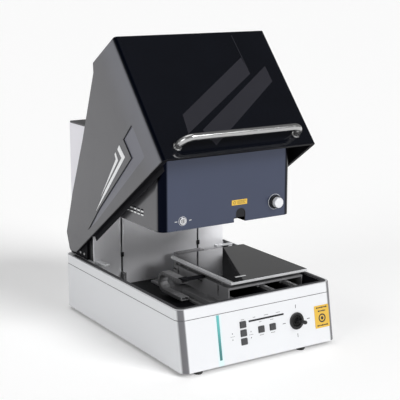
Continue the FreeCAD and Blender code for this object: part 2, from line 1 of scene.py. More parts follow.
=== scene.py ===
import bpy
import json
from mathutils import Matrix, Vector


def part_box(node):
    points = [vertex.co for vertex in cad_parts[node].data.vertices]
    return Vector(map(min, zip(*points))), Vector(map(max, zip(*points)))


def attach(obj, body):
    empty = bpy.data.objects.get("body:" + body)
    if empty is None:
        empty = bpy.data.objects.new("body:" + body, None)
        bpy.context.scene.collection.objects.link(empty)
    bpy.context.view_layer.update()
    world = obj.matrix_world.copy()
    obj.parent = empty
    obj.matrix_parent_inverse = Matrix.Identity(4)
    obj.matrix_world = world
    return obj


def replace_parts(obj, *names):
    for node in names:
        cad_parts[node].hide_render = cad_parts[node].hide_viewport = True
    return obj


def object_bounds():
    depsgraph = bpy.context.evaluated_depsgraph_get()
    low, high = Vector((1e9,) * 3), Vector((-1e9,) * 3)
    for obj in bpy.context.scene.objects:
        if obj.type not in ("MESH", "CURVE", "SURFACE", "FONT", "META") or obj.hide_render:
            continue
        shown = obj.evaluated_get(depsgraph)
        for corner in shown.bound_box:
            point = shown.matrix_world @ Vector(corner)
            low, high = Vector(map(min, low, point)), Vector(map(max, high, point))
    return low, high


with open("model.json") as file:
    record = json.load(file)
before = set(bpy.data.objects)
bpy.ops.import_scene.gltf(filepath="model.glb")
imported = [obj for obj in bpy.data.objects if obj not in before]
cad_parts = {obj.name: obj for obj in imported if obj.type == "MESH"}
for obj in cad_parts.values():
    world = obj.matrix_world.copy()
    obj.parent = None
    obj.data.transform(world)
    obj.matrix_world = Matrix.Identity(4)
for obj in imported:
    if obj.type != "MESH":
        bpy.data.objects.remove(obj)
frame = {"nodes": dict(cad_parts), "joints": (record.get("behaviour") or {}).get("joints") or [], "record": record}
CAD_BOX = [list(corner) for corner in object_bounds()]

import json
import math

import bmesh
import bpy
from mathutils import Matrix, Vector

bl_info = {
    "name": "Coating Analyser",
    "version": (1, 0, 0),
    "blender": (4, 5, 0),
    "location": "3D View > Sidebar > Analyser",
    "description": "Finishes and small parts of a bench-top coating analyser",
    "category": "Object",
}

# ---- places, read from the frame ---------------------------------------------------------------
MM = 0.001
HALF_WIDTH = CAD_BOX[1][0]
JOINTS = {joint["name"]: joint for joint in frame["joints"]}
X_AXIS = Vector((1, 0, 0))
Y_AXIS = Vector((0, 1, 0))
Z_AXIS = Vector((0, 0, 1))


def box_of(node):
    low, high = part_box(node)
    return low, high, (low + high) / 2


def frame_at(origin, across, up, out):
    """A matrix whose local X, Y and Z are across, up and out of a surface."""
    matrix = Matrix((across, up, out)).transposed().to_4x4()
    matrix.translation = origin
    return matrix


PIVOT = Vector(JOINTS["hood_swing"]["pos_m"])
OPEN_ANGLE = math.radians(JOINTS["hood_swing"]["range_deg"][1])
HOOD_RIM = 0.012
# the hood's closed side, in Y and Z
GROOVE = [(-0.23068, 0.3595), (-0.16168, 0.3485), (-0.17318, 0.2815), (0.11482, 0.2440),
          (0.22832, 0.2200)]
LOWER_EDGE = [(-0.3265, 0.1948), (0.3550, 0.1948)]
# millimetres across and up the hood's front: two wide bands and a fine line of painted reflection on the gloss
# black
REFLECTION_BANDS = (((-148.6, 142.1), (-155.5, 76.8), (144.7, 267.8), (137.8, 330.0)),
         ((-103.7, 84.8), (-80.8, 29.7), (4.0, 87.5), (212.6, 234.2), (211.5, 292.5)),
         ((137.9, 414.7), (139.9, 414.7), (144.4, 282.0), (142.0, 284.0)))
HOOD_TURN = Matrix.Rotation(-OPEN_ANGLE, 4, "X")
FACE_LOW = Vector((0, -0.34068, 0.1935))
FACE_HIGH = Vector((0, -0.29368, 0.620))


def swung(point):
    """A point of the closed hood, where it is at rest."""
    return PIVOT + HOOD_TURN @ (Vector(point) - PIVOT)


def hood_face():
    up = HOOD_TURN @ (FACE_HIGH - FACE_LOW).normalized()
    return frame_at(swung(FACE_LOW), X_AXIS, up, X_AXIS.cross(up))


def panel_face():
    """The leaning control panel, with its origin in front of the joystick's centre."""
    up = Vector(JOINTS["joystick_yaw"]["axis"])
    out = X_AXIS.cross(up)
    return frame_at(Vector(JOINTS["joystick_yaw"]["pos_m"]) + out * 8 * MM, X_AXIS, up, out)


def head_face(node):
    """The head's front at a node's centre, facing outwards."""
    centre = box_of(node)[2]
    return frame_at(Vector((centre.x, box_of("head_shell")[0].y, centre.z)),
                    X_AXIS, Z_AXIS, -Y_AXIS)


def rear_face():
    return frame_at(Vector((0, box_of("rear_panel")[1].y, 0)), -X_AXIS, Z_AXIS, Y_AXIS)


# ---- what a user would change ------------------------------------------------------------------
def colour(name, description, value):
    return bpy.props.FloatVectorProperty(name=name, description=description, default=value,
                                         size=3, min=0.0, max=1.0, subtype="COLOR")


def length(name, description, value, high=0.1):
    return bpy.props.FloatProperty(name=name, description=description, default=value,
                                   min=0.0, max=high, unit="LENGTH", subtype="DISTANCE")


class AnalyserColours(bpy.types.PropertyGroup):
    white: colour("White coat", "Powder coat of the base", (0.72, 0.73, 0.75))
    # painted reflection: this grey stands for the dark reflection in the base's glossy rounded front corners
    corner: colour("Corner trim", "Grey of the base's rounded front corners", (0.13, 0.13, 0.14))
    silver: colour("Column silver", "Satin silver of the column", (0.93, 0.93, 0.96))
    cabinet: colour("Cabinet", "Pale lilac coat of the rear cabinet", (0.83, 0.82, 0.87))
    hood: colour("Hood sides", "Grey lacquer of the hood's sides", (0.077, 0.077, 0.085))
    gloss: colour("Hood front", "Gloss black of the hood's front", (0.0020, 0.0024, 0.0040))
    # the hood bands are painted reflection: smoke grey standing for studio lights mirrored in the gloss front
    band: colour("Hood bands", "Smoke grey of the bands on the hood's front", (0.024, 0.024, 0.030))
    navy: colour("Head front", "Navy lacquer of the head", (0.045, 0.056, 0.098))
    glow: colour("Light strip", "Teal of the light strip", (0.10, 0.40, 0.40))
    label: colour("Label", "Yellow of the labels", (0.72, 0.45, 0.05))


class AnalyserSizes(bpy.types.PropertyGroup):
    edge: length("Edge", "Width of the eased edges of sheet metal", 0.0009, 0.005)
    fine_edge: length("Fine edge", "Width of the eased edges of small parts", 0.0004, 0.002)
    link_pitch: length("Link pitch", "Distance between the cable chains' links", 0.0128, 0.05)
    screw: length("Screw head", "Diameter of the panel screws' heads", 0.0070, 0.02)
    guard_wire: length("Guard wire", "Diameter of the fan guard's wire", 0.0022, 0.01)
    inlay_gap: length("Groove", "Width of the dark groove in the hood's sides", 0.0022, 0.01)


class AnalyserStage(bpy.types.PropertyGroup):
    floor_radius: bpy.props.FloatProperty(name="Floor radius", description="Radius of the floor",
                                          default=60.0, min=5.0, unit="LENGTH")
    key_power: bpy.props.FloatProperty(name="Key", description="Strength of the front light",
                                       default=2.5, min=0.0)
    side_power: bpy.props.FloatProperty(name="Side", description="Strength of the left light",
                                        default=0.85, min=0.0)
    top_power: bpy.props.FloatProperty(name="Top", description="Strength of the top light",
                                       default=0.8, min=0.0)
    sky: bpy.props.FloatProperty(name="Sky", description="Brightness of the room's soft light",
                                 default=0.30, min=0.0)
    focal_length: bpy.props.FloatProperty(name="Lens", description="Focal length, millimetres",
                                          default=95.3, min=10.0)


# ---- shader graphs -----------------------------------------------------------------------------
class Graph:
    """Adds nodes to a tree and links what they are given."""

    def __init__(self, tree):
        self.tree = tree

    def add(self, kind, inputs=None, **settings):
        node = self.tree.nodes.new(kind)
        for key, value in settings.items():
            setattr(node, key, value)
        for key, value in (inputs or {}).items():
            self.feed(node.inputs[key], value)
        return node

    def feed(self, socket, value):
        if isinstance(value, bpy.types.NodeSocket):
            self.tree.links.new(value, socket)
        elif socket.type == "RGBA" and len(value) == 3:
            socket.default_value = (*value, 1.0)
        else:
            socket.default_value = value

    def math(self, operation, a, b=0.0):
        return self.add("ShaderNodeMath", {0: a, 1: b}, operation=operation).outputs[0]

    def product(self, first, *others):
        for other in others:
            first = self.math("MULTIPLY", first, other)
        return first

    def ramp(self, value, low, high, start=0.0, end=1.0):
        """A smooth step of a value between two bounds."""
        node = self.add("ShaderNodeMapRange", {"Value": value, "From Min": low, "From Max": high,
                                               "To Min": start, "To Max": end},
                        interpolation_type="SMOOTHSTEP")
        return node.outputs["Result"]

    def mix(self, factor, a, b):
        node = self.add("ShaderNodeMix", {0: factor, 6: a, 7: b}, data_type="RGBA")
        return node.outputs[2]

    def noise(self, vector, scale, detail=3.0, roughness=0.5):
        node = self.add("ShaderNodeTexNoise", {"Vector": vector, "Scale": scale,
                                               "Detail": detail, "Roughness": roughness})
        return node.outputs["Fac"]

    def place(self):
        return self.add("ShaderNodeTexCoord").outputs["Object"]

    def split(self, vector):
        return self.add("ShaderNodeSeparateXYZ", {0: vector}).outputs

    def facing(self):
        """The surface's direction in the piece's own axes, split in three."""
        return self.split(self.add("ShaderNodeTexCoord").outputs["Normal"])


GROUPS = {}


def effect(name, inputs, outputs):
    """A decorator: the function below fills a shader group with these sockets, once."""
    def wrap(fill):
        tree = bpy.data.node_groups.new(name, "ShaderNodeTree")
        for label, value in inputs.items():
            kind = "NodeSocketVector" if isinstance(value, tuple) else "NodeSocketFloat"
            socket = tree.interface.new_socket(label, in_out="INPUT", socket_type=kind)
            socket.default_value = value
        for label in outputs:
            tree.interface.new_socket(label, in_out="OUTPUT", socket_type="NodeSocketFloat")
        graph = Graph(tree)
        given = tree.nodes.new("NodeGroupInput").outputs
        made = fill(graph, given)
        graph.add("NodeGroupOutput", dict(zip(outputs, made)))
        GROUPS[name] = tree
        return fill
    return wrap


@effect("Grain", {"Scale": 900.0, "Cloud Scale": 6.0}, ("Height", "Cloud"))
def grain(graph, given):
    """Fine raised grain, and slow clouds for uneven colour."""
    place = graph.place()
    fine = graph.noise(place, given["Scale"], 2.0, 0.6)
    cloud = graph.noise(place, given["Cloud Scale"], 4.0, 0.55)
    return fine, cloud


@effect("Brushed", {"Stretch": (1.0, 1.0, 1.0), "Scale": 60.0}, ("Height", "Streak"))
def brushed(graph, given):
    """Fine parallel lines along the axis whose stretch is smallest."""
    place = graph.place()
    pulled = graph.add("ShaderNodeVectorMath", {0: place, 1: given["Stretch"]},
                       operation="MULTIPLY").outputs[0]
    lines = graph.noise(pulled, given["Scale"], 4.0, 0.7)
    wide = graph.noise(pulled, graph.product(given["Scale"], 0.12), 2.0)
    return lines, wide


@effect("Dust", {"Amount": 0.3, "Scale": 40.0}, ("Mask",))
def dust(graph, given):
    """Settled dust on what faces up, in patches."""
    up = graph.ramp(graph.facing()["Z"], 0.6, 1.0)
    patches = graph.ramp(graph.noise(graph.place(), given["Scale"], 6.0, 0.7), 0.42, 0.75)
    return (graph.product(up, patches, given["Amount"]),)


@effect("Handling", {"Amount": 0.5, "Scale": 12.0}, ("Smear", "Scratch"))
def handling(graph, given):
    """Faint wipe marks, and sparse hair scratches."""
    place = graph.place()
    smear = graph.ramp(graph.noise(place, given["Scale"], 5.0, 0.65), 0.35, 0.75)
    turned = graph.add("ShaderNodeMapping", {"Vector": place, "Rotation": (0.4, 0.7, 0.5),
                                             "Scale": (1.0, 14.0, 5.0)}).outputs[0]
    hair = graph.ramp(graph.noise(turned, 55.0, 2.0, 0.4), 0.70, 0.76)
    return graph.product(smear, given["Amount"]), graph.product(hair, given["Amount"])


@effect("Edge Rub", {"Start": 0.52, "Amount": 0.5}, ("Mask",))
def edge_rub(graph, given):
    """Where corners and edges stand proud and have been rubbed."""
    pointed = graph.add("ShaderNodeNewGeometry").outputs["Pointiness"]
    proud = graph.ramp(pointed, given["Start"], graph.math("ADD", given["Start"], 0.06))
    patchy = graph.ramp(graph.noise(graph.place(), 90.0, 4.0, 0.7), 0.3, 0.7)
    return (graph.product(proud, patchy, given["Amount"]),)


class Finish(Graph):
    """A material with one Principled shader, whose constant values are set on its own sockets."""

    def __init__(self, name, base, rough, metal=0.0, **more):
        self.material = bpy.data.materials.new(name)
        self.material.use_nodes = True
        self.material.diffuse_color = (*base, 1.0)
        super().__init__(self.material.node_tree)
        self.shader = self.tree.nodes["Principled BSDF"]
        self.set("Base Color", base)
        self.set("Roughness", rough)
        self.set("Metallic", metal)
        for key, value in more.items():
            self.set(key.replace("_", " "), value)

    def set(self, socket, value):
        self.feed(self.shader.inputs[socket], value)

    def fed(self, socket):
        """What is linked to a socket of the shader now."""
        return self.shader.inputs[socket].links[0].from_socket

    def group(self, name, **values):
        node = self.add("ShaderNodeGroup", node_tree=GROUPS[name])
        for key, value in values.items():
            self.feed(node.inputs[key.replace("_", " ")], value)
        return node.outputs

    def bump(self, height, strength, depth):
        node = self.add("ShaderNodeBump", {"Height": height, "Strength": strength,
                                           "Distance": depth})
        self.set("Normal", node.outputs[0])


def darker(base, share):
    return tuple(c * share for c in base)


# ---- finishes ----------------------------------------------------------------------------------
DUST = (0.42, 0.41, 0.39)


def coat(name, base, rough, grain_scale=1100.0, dust_amount=0.10, coat_weight=0.1):
    """Powder coat or satin lacquer: fine orange peel, faint clouds, dust and wipe marks."""
    finish = Finish(name, base, rough, Coat_Weight=coat_weight, Coat_Roughness=0.15)
    fine = finish.group("Grain", Scale=grain_scale)
    settled = finish.group("Dust", Amount=dust_amount)["Mask"]
    wiped = finish.group("Handling", Amount=0.5)["Smear"]
    clouded = finish.mix(fine["Cloud"], darker(base, 0.96), base)
    finish.set("Base Color", finish.mix(settled, clouded, DUST))
    finish.set("Roughness", finish.ramp(wiped, 0.0, 1.0, rough, rough + 0.10))
    finish.bump(fine["Height"], 0.10, 0.0002)
    return finish


def corner_reflection_mask(finish, first, last):
    """1 on the upright rounded corners that face forwards, by how far they have turned; it places the painted
    corner reflection.
    """
    facing = finish.facing()
    side = finish.math("ABSOLUTE", facing["X"])
    rising = finish.ramp(side, first, first + 0.25)
    falling = finish.ramp(side, last, last + 0.20, 1.0, 0.0)
    front = finish.ramp(facing["Y"], -0.30, -0.20, 1.0, 0.0)
    return finish.product(rising, falling, front)


def white_paint(colours):
    """White powder coat, with a painted dark grey reflection on its rounded front corners and a painted teal glow
    from the light strip beside it.
    """
    finish = coat("white_powder_coat", tuple(colours.white), 0.36)
    body = finish.fed("Base Color")
    # painted reflection: dark grey on the rounded front corners
    corner_reflection_painted = finish.mix(corner_reflection_mask(finish, 0.04, 0.74), body, tuple(colours.corner))
    # painted light: the light strip's teal glow is tinted into the white coat beside it, on the front below the
    # seam
    strip = box_of("led_strip")[2]
    place = finish.split(finish.place())
    away = finish.math("ABSOLUTE", finish.math("SUBTRACT", place["X"], strip.x))
    near = finish.ramp(away, 0.003, 0.014, 0.45, 0.0)
    front = finish.ramp(finish.facing()["Y"], -0.95, -0.90, 1.0, 0.0)
    below = finish.ramp(place["Z"], 0.156, 0.163, 1.0, 0.0)
    painted_glow_spill = finish.product(front, below, near)
    finish.set("Base Color", finish.mix(painted_glow_spill, corner_reflection_painted, (0.50, 0.83, 0.84)))
    return finish.material


def silver_paint(colours):
    base = tuple(colours.silver)
    finish = Finish("column_silver", base, 0.34, 0.25)
    lines = finish.group("Brushed", Stretch=(30.0, 30.0, 0.6), Scale=30.0)
    finish.set("Base Color", finish.mix(lines["Streak"], darker(base, 0.96), base))
    finish.set("Roughness", finish.ramp(lines["Height"], 0.2, 0.8, 0.32, 0.38))
    finish.bump(lines["Height"], 0.015, 0.0001)
    return finish.material


def cabinet_paint(colours):
    finish = coat("cabinet_powder_coat", tuple(colours.cabinet), 0.42)
    body = finish.fed("Base Color")
    place = finish.split(finish.place())
    # painted shade: the cabinet's sides below and in front of the hinge brackets are painted near black for the
    # shade under the hood
    bracket = box_of("hinge_brackets")
    low = finish.ramp(place["Z"], bracket[1].z + 0.020, bracket[1].z + 0.022, 1.0, 0.0)
    front = finish.ramp(place["Y"], bracket[1].y - 0.014, bracket[1].y - 0.012, 1.0, 0.0)
    side = finish.math("GREATER_THAN", finish.math("ABSOLUTE", finish.facing()["X"]), 0.9)
    hidden = finish.product(low, front, side)
    finish.set("Base Color", finish.mix(hidden, body, (0.010, 0.010, 0.012)))
    return finish.material


def cover_grey(colours):
    return coat("cover_grey_coat", (0.085, 0.085, 0.092), 0.45, dust_amount=0.16).material


def dark_paint(colours):
    finish = coat("well_black_coat", (0.006, 0.006, 0.008), 0.55, dust_amount=0.010,
                  coat_weight=0.0)
    finish.set("Specular IOR Level", 0.09)
    return finish.material


def hood_grey(colours):
    base = tuple(colours.hood)
    finish = Finish("hood_grey_lacquer", base, 0.33, 0.25, Coat_Weight=0.35, Coat_Roughness=0.12)
    flake = finish.group("Grain", Scale=2200.0, Cloud_Scale=3.0)
    wiped = finish.group("Handling", Amount=0.6)
    toned = finish.mix(flake["Cloud"], darker(base, 0.94), darker(base, 1.05))
    # painted light: the side's shallow facets, turned from it by a few degrees, get a lighter blue tint, a painted
    # sheen for the light they catch
    side = finish.math("ABSOLUTE", finish.facing()["X"])
    facet_sheen_mask = finish.product(finish.ramp(side, 0.9995, 0.9999, 1.0, 0.0),
                         finish.ramp(side, 0.97, 0.98))
    facet_painted_sheen, front_painted_light = (0.100, 0.103, 0.132), (0.130, 0.136, 0.172)
    edge_painted_reflection = (0.010, 0.013, 0.026)
    facet = finish.mix(facet_sheen_mask, toned, facet_painted_sheen)
    face = hood_face()
    ahead = face.to_3x3() @ Z_AXIS
    depth = finish.add("ShaderNodeVectorMath", {0: finish.place(), 1: ahead},
                       operation="DOT_PRODUCT").outputs["Value"]
    depth = finish.math("SUBTRACT", depth, ahead.dot(face.translation))
    # painted light: the side is made lighter towards the hood's front
    front_painted_lit = finish.mix(finish.ramp(depth, -0.150, -0.025, 0.0, 0.50), facet,
                         front_painted_light)
    # painted reflection: a band just behind the hood's front turns dark navy, standing for the rounded corner's
    # dark reflection
    finish.set("Base Color", finish.mix(finish.ramp(depth, -0.024, -0.011), front_painted_lit,
                                        edge_painted_reflection))
    finish.set("Roughness", finish.ramp(wiped["Smear"], 0.0, 1.0, 0.30, 0.42))
    finish.bump(flake["Height"], 0.06, 0.0001)
    return finish.material


def gloss_black(colours, name="hood_gloss_black", rough=0.06):
    base = tuple(colours.gloss)
    finish = Finish(name, base, rough, IOR=1.42)
    soft = finish.group("Grain", Scale=18.0, Cloud_Scale=5.0)
    wiped = finish.group("Handling", Amount=0.8, Scale=7.0)
    # painted reflection: the rounded edges, where the face turns sideways, are painted navy and metallic for the
    # navy highlight line they show
    edge = finish.ramp(finish.math("ABSOLUTE", finish.facing()["X"]), 0.10, 0.35)
    finish.set("Base Color", finish.mix(edge, finish.mix(soft["Cloud"], base, darker(base, 2.2)),
                                        (0.006, 0.009, 0.020)))
    finish.set("Metallic", finish.product(edge, 0.9))
    marked = finish.math("ADD", wiped["Smear"], wiped["Scratch"])
    finish.set("Roughness", finish.ramp(marked, 0.0, 1.0, rough, rough + 0.10))
    finish.bump(soft["Height"], 0.02, 0.001)
    return finish.material


# painted reflection: a smoke grey film for the bands of studio light mirrored in the hood's gloss front
def painted_reflection_bands(colours):
    base = tuple(colours.band)
    finish = Finish("smoke_painted_reflection", base, 0.16, IOR=1.42)
    soft = finish.group("Grain", Scale=1500.0, Cloud_Scale=4.0)
    wiped = finish.group("Handling", Amount=0.6)["Smear"]
    finish.set("Base Color", finish.mix(soft["Cloud"], darker(base, 0.85), darker(base, 1.15)))
    finish.set("Roughness", finish.ramp(wiped, 0.0, 1.0, 0.14, 0.24))
    finish.bump(soft["Height"], 0.03, 0.0001)
    return finish.material


def navy_paint(colours):
    """Navy metallic lacquer on the head's front, grey at its sides; its rounded corners carry a painted dark
    reflection in black.
    """
    base = tuple(colours.navy)
    finish = Finish("head_navy_lacquer", base, 0.34, 0.45, Coat_Weight=0.3, Coat_Roughness=0.10)
    flake = finish.group("Grain", Scale=2600.0, Cloud_Scale=4.0)
    wiped = finish.group("Handling", Amount=0.5)["Smear"]
    side = finish.math("ABSOLUTE", finish.facing()["X"])
    toned = finish.mix(flake["Cloud"], darker(base, 0.92), darker(base, 1.08))
    # painted reflection: black base colour and near-mirror metal on the rounded corners
    turned = finish.ramp(side, 0.02, 0.30)
    flank = finish.ramp(side, 0.90, 0.995)
    black = finish.mix(turned, toned, (0.002, 0.003, 0.008))
    finish.set("Base Color", finish.mix(flank, black, (0.105, 0.105, 0.112)))
    corner = finish.product(turned, finish.math("SUBTRACT", 1.0, flank))
    finish.set("Metallic", finish.ramp(corner, 0.0, 1.0, 0.45, 0.97))
    finish.set("Coat Weight", finish.ramp(corner, 0.0, 1.0, 0.3, 0.0))
    finish.set("Roughness", finish.ramp(wiped, 0.0, 1.0, 0.30, 0.40))
    finish.bump(flake["Height"], 0.07, 0.0001)
    return finish.material


def metal(name, base, rough, shine=0.8, stretch=(30.0, 1.0, 30.0), scale=40.0, depth=0.05):
    """Drawn or ground metal with lines along one axis, dulled in patches."""
    finish = Finish(name, base, rough, shine)
    lines = finish.group("Brushed", Stretch=stretch, Scale=scale)
    wiped = finish.group("Handling", Amount=0.5)
    finish.set("Base Color", finish.mix(lines["Streak"], darker(base, 0.88), base))
    marked = finish.math("ADD", finish.product(lines["Height"], 0.5), wiped["Smear"])
    finish.set("Roughness", finish.ramp(marked, 0.0, 1.2, rough * 0.8, rough * 1.6))
    finish.bump(lines["Height"], depth, 0.0001)
    return finish.material


def stainless(colours):
    return metal("polished_stainless", (0.50, 0.50, 0.50), 0.17, 0.85, (0.8, 30.0, 30.0), 40.0,
                 0.03)


def steel(colours):
    return metal("ground_steel", (0.50, 0.50, 0.51), 0.26, 0.7)


def chrome(colours):
    return metal("chrome", (0.72, 0.72, 0.74), 0.10, 0.9, (3.0, 3.0, 3.0), 60.0, 0.01)


def aluminium(colours):
    return metal("satin_aluminium", (0.82, 0.83, 0.85), 0.32, 0.30)


def plate_dark(colours):
    """Polished dark anodised plate, with fine lines along its length."""
    base = (0.060, 0.060, 0.064)
    finish = Finish("plate_dark_anodised", base, 0.05, 0.55, Coat_Weight=0.6,
                    Coat_Roughness=0.04)
    lines = finish.group("Brushed", Stretch=(0.7, 25.0, 25.0), Scale=26.0)
    wiped = finish.group("Handling", Amount=0.7, Scale=18.0)
    settled = finish.group("Dust", Amount=0.05, Scale=160.0)["Mask"]
    toned = finish.mix(lines["Streak"], darker(base, 0.85), darker(base, 1.15))
    finish.set("Base Color", finish.mix(settled, toned, (0.30, 0.30, 0.30)))
    marked = finish.math("ADD", wiped["Smear"], wiped["Scratch"])
    finish.set("Roughness", finish.ramp(marked, 0.0, 1.4, 0.04, 0.13))
    finish.bump(lines["Height"], 0.02, 0.0001)
    return finish.material


def carriage_grey(colours):
    base = (0.27, 0.27, 0.28)
    finish = Finish("carriage_grey_anodised", base, 0.40, 0.25)
    fine = finish.group("Grain", Scale=1500.0, Cloud_Scale=8.0)
    settled = finish.group("Dust", Amount=0.10)["Mask"]
    toned = finish.mix(fine["Cloud"], darker(base, 0.90), darker(base, 1.08))
    finish.set("Base Color", finish.mix(settled, toned, (0.36, 0.36, 0.35)))
    finish.set("Roughness", finish.ramp(fine["Cloud"], 0.2, 0.8, 0.36, 0.48))
    finish.bump(fine["Height"], 0.10, 0.0001)
    return finish.material


def moulded(name, base, rough, scale=1400.0, depth=0.25):
    """Moulded plastic or rubber with a spark-eroded texture and rubbed edges."""
    finish = Finish(name, base, rough)
    fine = finish.group("Grain", Scale=scale, Cloud_Scale=25.0)
    rubbed = finish.group("Edge Rub", Amount=0.4)["Mask"]
    toned = finish.mix(fine["Cloud"], darker(base, 0.8), darker(base, 1.2))
    finish.set("Base Color", finish.mix(rubbed, toned, darker(base, 2.4)))
    finish.set("Roughness", finish.ramp(fine["Cloud"], 0.2, 0.8, rough - 0.06, rough + 0.06))
    finish.bump(fine["Height"], depth, 0.0002)
    return finish.material


def black_plastic(colours):
    return moulded("black_moulding", (0.007, 0.007, 0.008), 0.42)


def chain_grey(colours):
    return moulded("chain_moulding", (0.150, 0.150, 0.155), 0.50)


def button_grey(colours):
    return moulded("button_moulding", (0.042, 0.042, 0.045), 0.48)


def rubber(colours):
    return moulded("black_rubber", (0.016, 0.016, 0.016), 0.68, 700.0, 0.35)


def seal_rubber(colours):
    return moulded("seal_rubber", (0.050, 0.050, 0.054), 0.55, 900.0, 0.30)


def led_teal(colours):
    """A frosted light guide, brighter at the top."""
    glow = tuple(colours.glow)
    finish = Finish("light_guide", glow, 0.30, Emission_Strength=0.25)
    low, high, _ = box_of("led_strip")
    place = finish.split(finish.place())
    rise = finish.ramp(place["Z"], low.z, high.z)
    frost = finish.group("Grain", Scale=1200.0, Cloud_Scale=60.0)
    lit = finish.mix(rise, darker(glow, 0.35), glow)
    finish.set("Base Color", lit)
    finish.set("Emission Color", finish.mix(frost["Cloud"], darker(glow, 0.4), lit))
    finish.bump(frost["Height"], 0.15, 0.0001)
    return finish.material


def printed(name, base, rough=0.38):
    """Screen print or label film: nearly even ink with a slight grain."""
    finish = Finish(name, base, rough, Coat_Weight=0.15)
    fine = finish.group("Grain", Scale=2500.0, Cloud_Scale=45.0)
    finish.set("Base Color", finish.mix(fine["Cloud"], darker(base, 0.88), darker(base, 1.04)))
    finish.set("Roughness", finish.ramp(fine["Height"], 0.3, 0.7, rough - 0.05, rough + 0.05))
    finish.bump(fine["Height"], 0.05, 0.0001)
    return finish.material


def label_yellow(colours):
    return printed("label_yellow_film", tuple(colours.label))


def white_inlay(colours):
    return printed("inlay_white", (0.86, 0.87, 0.88), 0.25)


def dark_glass(colours):
    return gloss_black(colours, "smoked_window", 0.05)


def pcb(colours):
    return printed("solder_mask", (0.02, 0.14, 0.06), 0.3)


def grey_print(colours):
    return printed("grey_ink", (0.045, 0.045, 0.050))


def black_print(colours):
    return printed("black_ink", (0.02, 0.02, 0.02))


def groove_black(colours):
    return printed("groove_black", (0.004, 0.004, 0.005), 0.5)


FINISHES = (white_paint, silver_paint, cabinet_paint, cover_grey, dark_paint, hood_grey,
            gloss_black, painted_reflection_bands, navy_paint, stainless, steel, chrome, aluminium, plate_dark,
            carriage_grey, black_plastic, chain_grey, button_grey, rubber, seal_rubber, led_teal,
            label_yellow, white_inlay, dark_glass, pcb, grey_print, black_print, groove_black)
SLOT_FINISH = {"hood_black": "gloss_black"}
NODE_FINISH = {"cabinet_shell": "cabinet_paint", "rear_panel": "cabinet_paint",
               "key_plug": "steel"}
MADE = {}


def made(name):
    """The material of that finish, built on first use."""
    if name not in MADE:
        build = {finish.__name__: finish for finish in FINISHES}[name]
        MADE[name] = build(bpy.context.scene.analyser_colours)
    return MADE[name]


def slot_of(node):
    for part in frame["record"]["subparts"]:
        if part["node"] == node:
            return part["material_slot"]
    raise KeyError(node)


def node_finish(node):
    slot = slot_of(node)
    return NODE_FINISH.get(node, SLOT_FINISH.get(slot, slot))


# ---- mesh building -----------------------------------------------------------------------------
SHARP_DEG = 32.0                    # faces that turn by more stay apart in the shading
RIM_DEG = 40.0                      # edges that turn by more are eased
FACET_TURN = math.radians(0.8)      # a hood facet's least turn
FLAT_TURN = math.radians(0.3)       # triangles that turn by less are one flat face
MERGE_DISTANCE = 5e-6
FILM_EDGE, PLATE_EDGE = 0.0002, 0.0003      # eased edges of labels, and of thicker plates


